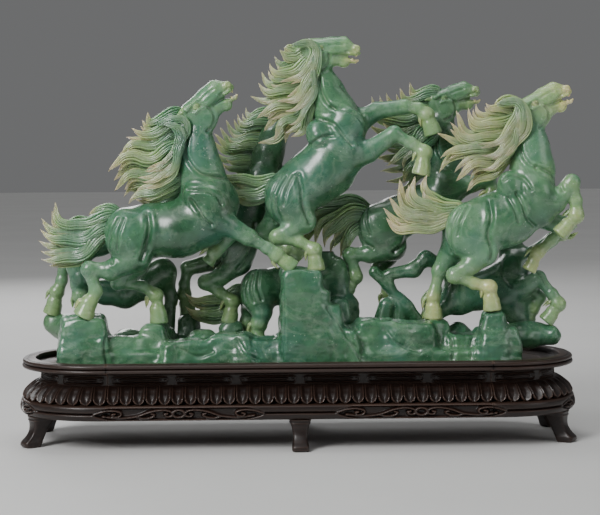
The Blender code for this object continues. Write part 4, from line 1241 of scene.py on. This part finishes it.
def carved_rail(name, part, face, relief, spacing, material, *nodes):
    """A rail whose outer face (distances out, heights) is sunk or raised by relief(run, height)."""
    place, out, run = rail_route(part, spacing)
    face = np.asarray(face, float)
    depth = face[None, :, 0] + relief(run[:, None], face[None, :, 1])
    depth[:, 0], depth[:, -1] = face[0, 0], face[-1, 0]
    # Two more rows close the rail at its back. A face has an even number of rows.
    rows = len(face) + 2
    offsets = np.hstack([depth, np.full((len(run), 2), -RAIL_BACK)])
    heights = np.concatenate([face[:, 1], [face[-1, 1], face[0, 1]]])
    points = np.zeros((len(run), rows, 3))
    points[:, :, :2] = place[:, None, :] + out[:, None, :] * offsets[:, :, None]
    points[:, :, 2] = heights
    index = np.arange(len(run) * rows).reshape(len(run), rows)
    a, b = index[:-1], index[1:]
    quads = np.stack([np.roll(a, -1, axis=1), np.roll(b, -1, axis=1), b, a], axis=-1).reshape(-1, 4)
    caps = []
    for row, turned in ((index[0], True), (index[-1], False)):
        for i in range(rows // 2 - 1):
            cap = [row[i], row[i + 1], row[rows - 2 - i], row[rows - 1 - i]]
            caps.append(cap[::-1] if turned else cap)
    rail = new_piece(name, points.reshape(-1, 3), np.vstack([quads, np.array(caps)]), material)
    rail.data.set_sharp_from_angle(angle=math.radians(50))
    finish_piece(rail, "stand", "rosewood", *nodes)


def arc(centre, radius, start, end, steps):
    angles = np.radians(np.linspace(start, end, steps))
    return [(centre[0] + radius * math.cos(a), centre[1] + radius * math.sin(a)) for a in angles]


def rim_face():
    """From the recess over the flat top and round two beads, then in under a cove."""
    face = [(-13.7, 78.3), (-14.0, 82.6), (-13.2, 84.0), (-6.0, 84.0), (-5.0, 83.2)]
    face += arc((-2.9, 81.5), 2.2, 100, -70, 8)
    face += [(-3.0, 79.0)]
    face += arc((-2.0, 77.1), 1.9, 80, -80, 8)
    face += [(-3.6, 74.9), (-7.5, 74.2), (-11.5, 73.0), (-14.0, 72.2)]
    return face


def waist_face():
    return [(-19.0, z) for z in np.linspace(71.7, 62.15, 20)]


CARTOUCHE = 61.6


def waist_relief(run, height):
    """Long sunk cartouches with a line inside each, one after another round the waist."""
    place = (folded(run) / CARTOUCHE) % 1.0
    u = (place - 0.5) * CARTOUCHE
    v = height - 66.9
    end = CARTOUCHE / 2 - 4.0
    out = np.maximum(np.abs(u) - end + 3.2, 0)
    edge = np.hypot(out, v) - 3.2
    inner = np.hypot(np.maximum(np.abs(u) - end + 9, 0), v * 1.9) - 1.9
    bead = 0.9 * np.exp(-((edge / 0.55) ** 2))
    sunk = -0.9 / (1 + np.exp((edge + 0.7) * 3.5))
    ridge = 1.1 * np.exp(-((inner / 0.6) ** 2))
    eyes = 1.2 * np.exp(-(((np.abs(u) - end + 2.5) ** 2 + v**2) / 1.4))
    return bead + sunk + ridge + eyes


PETAL_TOP, PETAL_FOOT = 61.85, 45.15
PETALS_ON_SIDE, PETALS_ON_END = 30, 21


def petal_face():
    face = []
    for share in np.linspace(0, 1, 30):
        out = -17.0 + 15.8 * math.sin(min(share * 1.12, 1.0) * math.pi / 2) ** 0.8
        out -= 1.6 * max(share - 0.86, 0) / 0.14
        face.append((out, PETAL_TOP + (PETAL_FOOT - PETAL_TOP) * share))
    return face


def petal_relief(run, height):
    """Scooped lotus petals with raised rims, and deep gaps between their round tips."""
    place = folded(run)
    on_side = place < STRAIGHT
    pitch_side, pitch_end = 2 * STRAIGHT / PETALS_ON_SIDE, END_RUN / PETALS_ON_END
    u = np.where(on_side, (place / pitch_side) % 1.0, ((place - STRAIGHT) / pitch_end) % 1.0) - 0.5
    share = (PETAL_TOP - height) / (PETAL_TOP - PETAL_FOOT)
    round_part = np.clip((share - 0.5) / 0.5, 0, 1)
    half = 0.5 * np.sqrt(np.clip(1 - round_part**2.4, 0, 1))
    edge = (half - np.abs(u)) * 12.3 * (1 - 0.35 * round_part)
    rim = 1.3 * np.exp(-(((edge - 1.0) / 0.75) ** 2))
    bowl = np.clip((edge - 1.4) / 3.2, 0, 1)
    scoop = -2.6 * bowl * bowl * (3 - 2 * bowl) * np.clip(share * 3, 0, 1)
    gap = -5.0 / (1 + np.exp(edge * 5.0 + 1.0)) * (share > 0.3)
    seam = -0.9 * np.exp(-((edge / 0.4) ** 2)) * (share < 0.55)
    return rim + scoop + gap + seam


# Scrolls on the long sides run from and to these distances from a side's middle; those on the ends
# start at END_SCROLL.
SCROLL_START, SCROLL_END = 35.0, 197.0
END_SCROLL = 262.0
SCROLL_MIDDLE = 7.2
FRAME_TOP, FRAME_FOOT = 44.85, 30.15


def frame_face():
    face = [(-1.5, FRAME_TOP), (0.6, 44.2)]
    for z in np.linspace(43.2, 31.4, 24):
        face.append((2.0 - 1.6 * ((z - 38.0) / 7.0) ** 4, z))
    return face + [(-0.6, 30.5), (-3.0, FRAME_FOOT)]


def scroll_lines():
    """Half of a scroll, as lines of (run from the scroll's outer end, height above the frame's foot)."""
    leaf = ((0, 7), (8, 9.6), (18, 10.6), (26, 8.6), (25, 5.2), (20, 4.4), (17.6, 6.6), (20.5, 7.4))
    wave = ((9, 5), (24, 3.4), (40, 4.6), (54, 9.2), (66, 10.8), (74, 9), (75, 5.6))
    wave += ((70, 4.4), (67.5, 6.6), (70.5, 7.4))
    sprig = ((40, 4.6), (47, 3.0), (54, 3.6), (58, 6.2), (55, 7.4))
    return leaf, wave, sprig


def frame_relief(run, height):
    """Pierced scrollwork: ribs left standing in long sunk fields, on the sides and on the ends."""
    place = folded(run)
    middle = (SCROLL_START + SCROLL_END) / 2
    from_end = (SCROLL_END - SCROLL_START) / 2 - np.abs(place - middle)
    on_end = place > (SCROLL_END + END_SCROLL) / 2
    from_end = np.where(on_end, place - END_SCROLL, from_end) + 0 * height
    up = height - FRAME_FOOT + 0 * run
    near = np.full(from_end.shape, 1e9)
    for line in scroll_lines():
        gap = distance_to_line(from_end.ravel(), up.ravel(), smooth_route(line, 30))
        near = np.minimum(near, gap.reshape(near.shape))
    oval = np.abs(np.hypot((from_end - 81) / 1.7, up - SCROLL_MIDDLE) - 3.4)
    near = np.minimum(near, np.where(on_end, 1e9, oval))
    field = 5.4 * np.clip(from_end / 16, 0.02, 1) ** 0.5 - np.abs(up - SCROLL_MIDDLE)
    sunk = 1 / (1 + np.exp(-(field - 0.3) * 3.0))
    rib = 1 / (1 + np.exp((near - 1.15) * 4.0))
    return -4.2 * sunk * (1 - rib) + 0.5 * sunk * rib


def plain(run, height):
    return 0.0 * run + 0.0 * height


def make_rails(material):
    """The four layers of the stand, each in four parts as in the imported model."""
    layers = {
        "rim": (rim_face(), plain, 1.6),
        "waist": (waist_face(), waist_relief, 0.8),
        "petal_band": (petal_face(), petal_relief, 0.6),
        "lower_frame": (frame_face(), frame_relief, 0.8),
    }
    for layer, (face, relief, spacing) in layers.items():
        for part in ("front", "back", "left", "right"):
            carved_rail(f"{layer}_{part}_carved", part, face, relief, spacing, material, f"{layer}_{part}")


# A foot's side, from the floor up: height, outer edge, inner edge, width.
FOOT_LEVELS = (
    (0.0, 5.0, -8.0, 15.0),
    (0.6, 6.6, -8.6, 16.0),
    (1.8, 8.0, -9.2, 16.6),
    (5.0, 7.8, -10.4, 16.4),
    (8.0, 4.6, -12.0, 15.0),
    (11.0, 1.6, -13.6, 14.2),
    (15.0, -0.8, -15.6, 14.2),
    (20.0, -1.8, -18.4, 15.6),
    (25.0, -1.6, -22.6, 18.4),
    (26.2, -0.6, -23.4, 19.8),
    (27.2, -1.4, -24.2, 19.6),
    (29.8, -0.6, -26.0, 21.6),
)


# Stretches of a foot's height and how many rings each holds.
FOOT_STRETCHES = ((0, 8, 13), (8, 24, 13), (24, 29.8, 11))
FOOT_SIDES = 32


def make_foot(name, place, turn, material, node):
    """A bracket foot with a narrow ankle, a lip under the frame and a toe that flicks outwards."""
    levels = np.array(FOOT_LEVELS)
    stretches = [np.linspace(a, b, steps, endpoint=False) for a, b, steps in FOOT_STRETCHES]
    heights = np.concatenate(stretches + [levels[-1:, 0]])
    outer, inner, width = (np.interp(heights, levels[:, 0], levels[:, k]) for k in (1, 2, 3))
    for values in (outer, inner, width):
        values[1:-1] = (values[:-2] + 2 * values[1:-1] + values[2:]) / 4
    angles = np.arange(FOOT_SIDES) * 2 * math.pi / FOOT_SIDES
    u = np.sign(np.cos(angles)) * np.abs(np.cos(angles)) ** 0.35
    v = np.sign(np.sin(angles)) * np.abs(np.sin(angles)) ** 0.35
    middle, reach = (outer + inner) / 2, (outer - inner) / 2
    crest = 1.0 + 0.05 * np.clip(u, 0, 1) * (1 - np.abs(v))
    ring_x = middle[:, None] + reach[:, None] * u * crest
    ring_y = width[:, None] / 2 * v
    c, s = math.cos(turn), math.sin(turn)
    points = np.stack([
        place[0] + ring_x * c - ring_y * s,
        place[1] + ring_x * s + ring_y * c,
        np.repeat(heights[:, None], FOOT_SIDES, axis=1),
    ], axis=-1)
    index = np.arange(len(heights) * FOOT_SIDES).reshape(len(heights), FOOT_SIDES)
    a, b = index[:-1], index[1:]
    quads = np.stack([a, np.roll(a, -1, axis=1), np.roll(b, -1, axis=1), b], axis=-1).reshape(-1, 4)
    caps = []
    for row, turned in ((index[0], True), (index[-1], False)):
        for i in range(FOOT_SIDES // 2 - 1):
            cap = [row[i], row[i + 1], row[FOOT_SIDES - 2 - i], row[FOOT_SIDES - 1 - i]]
            caps.append(cap[::-1] if turned else cap)
    foot = new_piece(name, points.reshape(-1, 3), np.vstack([quads, np.array(caps)]), material)
    foot.data.set_sharp_from_angle(angle=math.radians(40))
    finish_piece(foot, "stand", "rosewood", node)


FOOT_ANGLE = math.radians(32.0)


def make_feet(material):
    for side, sign_x in (("left", -1), ("right", 1)):
        for face, sign_y in (("front", -1), ("back", 1)):
            out = (sign_x * math.cos(FOOT_ANGLE), sign_y * math.sin(FOOT_ANGLE))
            place = (sign_x * ALONG + CORNER * out[0], sign_y * ACROSS + CORNER * out[1])
            turn = math.atan2(out[1], out[0])
            make_foot(f"foot_{face}_{side}_carved", place, turn, material, f"foot_{face}_{side}")
    make_foot("foot_front_middle_carved", (0, -HALF_DEPTH), -math.pi / 2, material, "foot_front_middle")
    make_foot("foot_back_middle_carved", (0, HALF_DEPTH), math.pi / 2, material, "foot_back_middle")


# ---------------------------------------------------------------- materials

def node_maker(material):
    tree = material.node_tree

    def make(kind, inputs=None, **settings):
        node = tree.nodes.new(kind)
        for key, value in settings.items():
            setattr(node, key, value)
        for key, value in (inputs or {}).items():
            if isinstance(value, bpy.types.NodeSocket):
                tree.links.new(value, node.inputs[key])
            else:
                node.inputs[key].default_value = value
        return node

    return make


def ramp(make, source, stops):
    node = make("ShaderNodeValToRGB", {"Fac": source})
    elements = node.color_ramp.elements
    while len(elements) < len(stops):
        elements.new(0.5)
    for element, (place, colour) in zip(elements, stops):
        element.position = place
        element.color = (*colour, 1.0)
    return node.outputs["Color"]


def mix(make, share, first, second, blend="MIX"):
    node = make("ShaderNodeMix", data_type="RGBA", blend_type=blend)
    tree = node.id_data
    for socket, value in ((node.inputs[0], share), (node.inputs[6], first), (node.inputs[7], second)):
        if isinstance(value, bpy.types.NodeSocket):
            tree.links.new(value, socket)
        elif isinstance(value, tuple):
            socket.default_value = (*value, 1.0)
        else:
            socket.default_value = value
    return node.outputs[2]


def maths(make, operation, first, second=0.0, clamp=False):
    return make("ShaderNodeMath", {0: first, 1: second}, operation=operation, use_clamp=clamp).outputs[0]


def start_material(name):
    material = bpy.data.materials.new(name)
    material.use_nodes = True
    make = node_maker(material)
    shader = material.node_tree.nodes["Principled BSDF"]
    where = make("ShaderNodeTexCoord").outputs["Object"]
    return material, make, shader, where


def noise(make, where, scale, detail=4.0, roughness=0.55, distortion=0.0):
    inputs = {"Vector": where, "Scale": scale, "Detail": detail}
    inputs.update({"Roughness": roughness, "Distortion": distortion})
    return make("ShaderNodeTexNoise", inputs).outputs["Fac"]


def link(material, source, shader, name):
    material.node_tree.links.new(source, shader.inputs[name])


def jade_material():
    """Polished jade: deep green bodies, lighter limbs, cream hair tips, clouds, specks, pale veins, pale
    dust in creases, and a dark olive towards the back that is partly grime and partly painted shade.
    """
    material, make, shader, where = start_material("jade_stone")
    tint = make("ShaderNodeAttribute", attribute_name="tint").outputs["Fac"]
    clouds = noise(make, where, 11.0, 5.0, 0.6, 0.6)
    mottle = noise(make, where, 55.0, 6.0, 0.65, 0.8)
    drift = maths(make, "MULTIPLY_ADD", clouds, 0.72)
    drift.node.inputs[2].default_value = -0.34
    fine = maths(make, "MULTIPLY_ADD", mottle, 0.30)
    fine.node.inputs[2].default_value = -0.15
    half = maths(make, "MULTIPLY", tint, 0.5)
    light = maths(make, "ADD", maths(make, "ADD", half, drift), fine, clamp=True)
    colour = ramp(make, light, (
        (0.0, (0.018, 0.080, 0.034)),
        (0.14, (0.048, 0.152, 0.074)),
        (0.32, (0.130, 0.290, 0.145)),
        (0.52, (0.265, 0.420, 0.175)),
        (0.78, (0.540, 0.570, 0.235)),
        (1.0, (0.780, 0.650, 0.340)),
    ))
    blue = ramp(make, noise(make, where, 19.0, 3.0, 0.5, 0.3), ((0.45, (0, 0, 0)), (0.72, (0.5, 0.5, 0.5))))
    colour = mix(make, blue, colour, (0.066, 0.205, 0.155))
    pale_noise = noise(make, where, 34.0, 8.0, 0.7, 1.4)
    pale = ramp(make, pale_noise, ((0.54, (0, 0, 0)), (0.80, (0.42, 0.42, 0.42))))
    colour = mix(make, pale, colour, (0.42, 0.58, 0.42))
    vein_noise = noise(make, where, 14.0, 6.0, 0.6, 1.8)
    vein = maths(make, "ABSOLUTE", maths(make, "SUBTRACT", vein_noise, 0.5))
    vein_share = ramp(make, vein, ((0.0, (0.12, 0.12, 0.12)), (0.03, (0, 0, 0))))
    colour = mix(make, vein_share, colour, (0.56, 0.66, 0.50))
    cells = make("ShaderNodeTexVoronoi", {"Vector": where, "Scale": 260.0, "Randomness": 1.0})
    spots = cells.outputs["Distance"]
    spot_share = ramp(make, spots, ((0.08, (0.75, 0.75, 0.75)), (0.17, (0, 0, 0))))
    spot_mask = ramp(make, noise(make, where, 40.0, 3.0), ((0.52, (0, 0, 0)), (0.66, (1, 1, 1))))
    spot_share = mix(make, 1.0, spot_share, spot_mask, "MULTIPLY")
    colour = mix(make, spot_share, colour, (0.72, 0.80, 0.68))
    # Painted shade, partly grime: the stone is mixed towards a dark olive further back (y from 4 mm to 40
    # mm), darkening the back row of horses as if in shade.
    depth = make("ShaderNodeSeparateXYZ", {"Vector": where}).outputs["Y"]
    far = make("ShaderNodeMapRange", {"Value": depth, "From Min": 0.004, "From Max": 0.040, "To Max": 0.55})
    colour = mix(make, far.outputs[0], colour, mix(make, 0.5, colour, (0.085, 0.105, 0.035)))
    crease = make("ShaderNodeNewGeometry").outputs["Pointiness"]
    dust = ramp(make, crease, ((0.40, (0.5, 0.5, 0.5)), (0.47, (0, 0, 0))))
    dust = mix(make, 1.0, dust, ramp(make, mottle, ((0.42, (0, 0, 0)), (0.62, (1, 1, 1)))), "MULTIPLY")
    colour = mix(make, dust, colour, (0.46, 0.54, 0.36))
    link(material, colour, shader, "Base Color")
    rough = maths(make, "MULTIPLY_ADD", noise(make, where, 70.0, 5.0, 0.6), 0.24)
    rough.node.inputs[2].default_value = 0.16
    link(material, rough, shader, "Roughness")
    ground = noise(make, where, 150.0, 4.0, 0.6)
    bump = make("ShaderNodeBump", {"Height": ground, "Strength": 0.10, "Distance": 0.0006})
    link(material, bump.outputs["Normal"], shader, "Normal")
    shader.inputs["IOR"].default_value = 1.62
    shader.inputs["Subsurface Weight"].default_value = 0.45
    shader.inputs["Subsurface Radius"].default_value = (0.75, 1.0, 0.55)
    shader.inputs["Subsurface Scale"].default_value = 0.007
    shader.inputs["Coat Weight"].default_value = 0.25
    shader.inputs["Coat Roughness"].default_value = 0.14
    return material


def rosewood_material():
    """Dark waxed hardwood: long grain, fine pores, and edges worn lighter."""
    material, make, shader, where = start_material("dark_rosewood")
    stretched = make("ShaderNodeMapping", {"Vector": where, "Scale": (5.0, 60.0, 60.0)}).outputs["Vector"]
    grain = noise(make, stretched, 6.0, 8.0, 0.65, 0.8)
    colour = ramp(make, grain, (
        (0.25, (0.0055, 0.0028, 0.0021)),
        (0.50, (0.0115, 0.0056, 0.0040)),
        (0.75, (0.0250, 0.0120, 0.0080)),
    ))
    squeezed = make("ShaderNodeMapping", {"Vector": where, "Scale": (30.0, 500.0, 500.0)}).outputs["Vector"]
    pores = noise(make, squeezed, 3.0, 3.0)
    pore_share = ramp(make, pores, ((0.60, (0, 0, 0)), (0.72, (0.5, 0.5, 0.5))))
    colour = mix(make, pore_share, colour, (0.008, 0.004, 0.003))
    edge = make("ShaderNodeNewGeometry").outputs["Pointiness"]
    worn = ramp(make, edge, ((0.51, (0, 0, 0)), (0.60, (0.65, 0.65, 0.65))))
    colour = mix(make, worn, colour, (0.105, 0.060, 0.043))
    link(material, colour, shader, "Base Color")
    rough = maths(make, "MULTIPLY_ADD", noise(make, where, 45.0, 5.0), 0.26)
    rough.node.inputs[2].default_value = 0.26
    link(material, rough, shader, "Roughness")
    bump = make("ShaderNodeBump", {"Height": grain, "Strength": 0.12, "Distance": 0.0005})
    link(material, bump.outputs["Normal"], shader, "Normal")
    shader.inputs["Specular IOR Level"].default_value = 0.42
    shader.inputs["Coat Weight"].default_value = 0.12
    shader.inputs["Coat Roughness"].default_value = 0.2
    return material


def floor_material():
    material, make, shader, where = start_material("pale_floor")
    shade = ramp(make, noise(make, where, 3.0, 3.0), ((0.3, (0.60, 0.60, 0.59)), (0.7, (0.64, 0.64, 0.63))))
    link(material, shade, shader, "Base Color")
    shader.inputs["Roughness"].default_value = 0.85
    return material


# ---------------------------------------------------------------- making it all

# How much lighter than the darkest stone each horse is.
TONES = {
    "horse_front_left": 0.05,
    "horse_centre": 0.22,
    "horse_front_right": 0.48,
    "horse_back_right": 0.12,
    "horse_back_left": 0.05,
    "horse_far_left": 0.16,
    "horse_low_left": 0.12,
    "horse_low_right": 0.2,
}

JADE = jade_material()
ROSEWOOD = rosewood_material()

for number, (horse, plan) in enumerate(HORSES.items()):
    make_horse(horse, plan, HAIR[horse], TONES[horse], JADE, number + 1)
make_rocks(JADE)
make_rails(ROSEWOOD)
make_feet(ROSEWOOD)
for kept in ("top_panel", "batten_1", "batten_2", "batten_3"):
    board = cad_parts[kept]
    board.data.materials.clear()
    board.data.materials.append(ROSEWOOD)


# ---------------------------------------------------------------- floor, light and camera

bpy.ops.mesh.primitive_plane_add(size=24, location=(0, 0, 0))
floor = bpy.context.object
floor.name = "floor"
floor.data.materials.append(floor_material())


def area_light(name, place, size, power, colour=(1, 1, 1)):
    data = bpy.data.lights.new(name, "AREA")
    data.shape = "RECTANGLE"
    data.size, data.size_y = size
    data.energy = power
    data.color = colour
    light = bpy.data.objects.new(name, data)
    light.location = place
    aim = Vector((0, 0, 0.2)) - Vector(place)
    light.rotation_euler = aim.to_track_quat("-Z", "Y").to_euler()
    bpy.context.scene.collection.objects.link(light)


area_light("key", (-1.3, -1.5, 1.5), (0.8, 1.1), 49)
area_light("fill", (1.9, -1.2, 0.9), (1.2, 1.2), 7)
area_light("top", (0.1, 0.3, 2.0), (1.2, 0.6), 9)
area_light("back", (-0.6, 1.8, 1.0), (1.2, 0.8), 14)

sun_data = bpy.data.lights.new("sky", "SUN")
sun_data.energy = 0.6
sun_data.angle = math.radians(50)
sun = bpy.data.objects.new("sky", sun_data)
sun.rotation_euler = Vector((0.35, 0.5, -1.0)).to_track_quat("-Z", "Y").to_euler()
bpy.context.scene.collection.objects.link(sun)

world = bpy.data.worlds.new("studio")
bpy.context.scene.world = world
world.use_nodes = True
world.node_tree.nodes["Background"].inputs["Color"].default_value = (0.80, 0.81, 0.82, 1)
world.node_tree.nodes["Background"].inputs["Strength"].default_value = 0.19

CAMERA_TURN, CAMERA_RISE, CAMERA_ROLL = math.radians(-1.3), math.radians(3.56), math.radians(-0.38)
CAMERA_DISTANCE, CAMERA_AIM, LENS = 1.607, Vector((0.0025, 0, 0.1803)), 96.3
back = Vector((
    math.sin(CAMERA_TURN) * math.cos(CAMERA_RISE),
    -math.cos(CAMERA_TURN) * math.cos(CAMERA_RISE),
    math.sin(CAMERA_RISE),
))
level = (-back).cross(Vector((0, 0, 1))).normalized()
upright = level.cross(-back)
right = math.cos(CAMERA_ROLL) * level + math.sin(CAMERA_ROLL) * upright
up = math.cos(CAMERA_ROLL) * upright - math.sin(CAMERA_ROLL) * level
camera_data = bpy.data.cameras.new("camera")
camera_data.lens = LENS
camera_data.sensor_width = 36.0
camera = bpy.data.objects.new("camera", camera_data)
camera.matrix_world = Matrix((
    (right.x, up.x, back.x, CAMERA_AIM.x + back.x * CAMERA_DISTANCE),
    (right.y, up.y, back.y, CAMERA_AIM.y + back.y * CAMERA_DISTANCE),
    (right.z, up.z, back.z, CAMERA_AIM.z + back.z * CAMERA_DISTANCE),
    (0, 0, 0, 1),
))
bpy.context.scene.collection.objects.link(camera)
bpy.context.scene.camera = camera
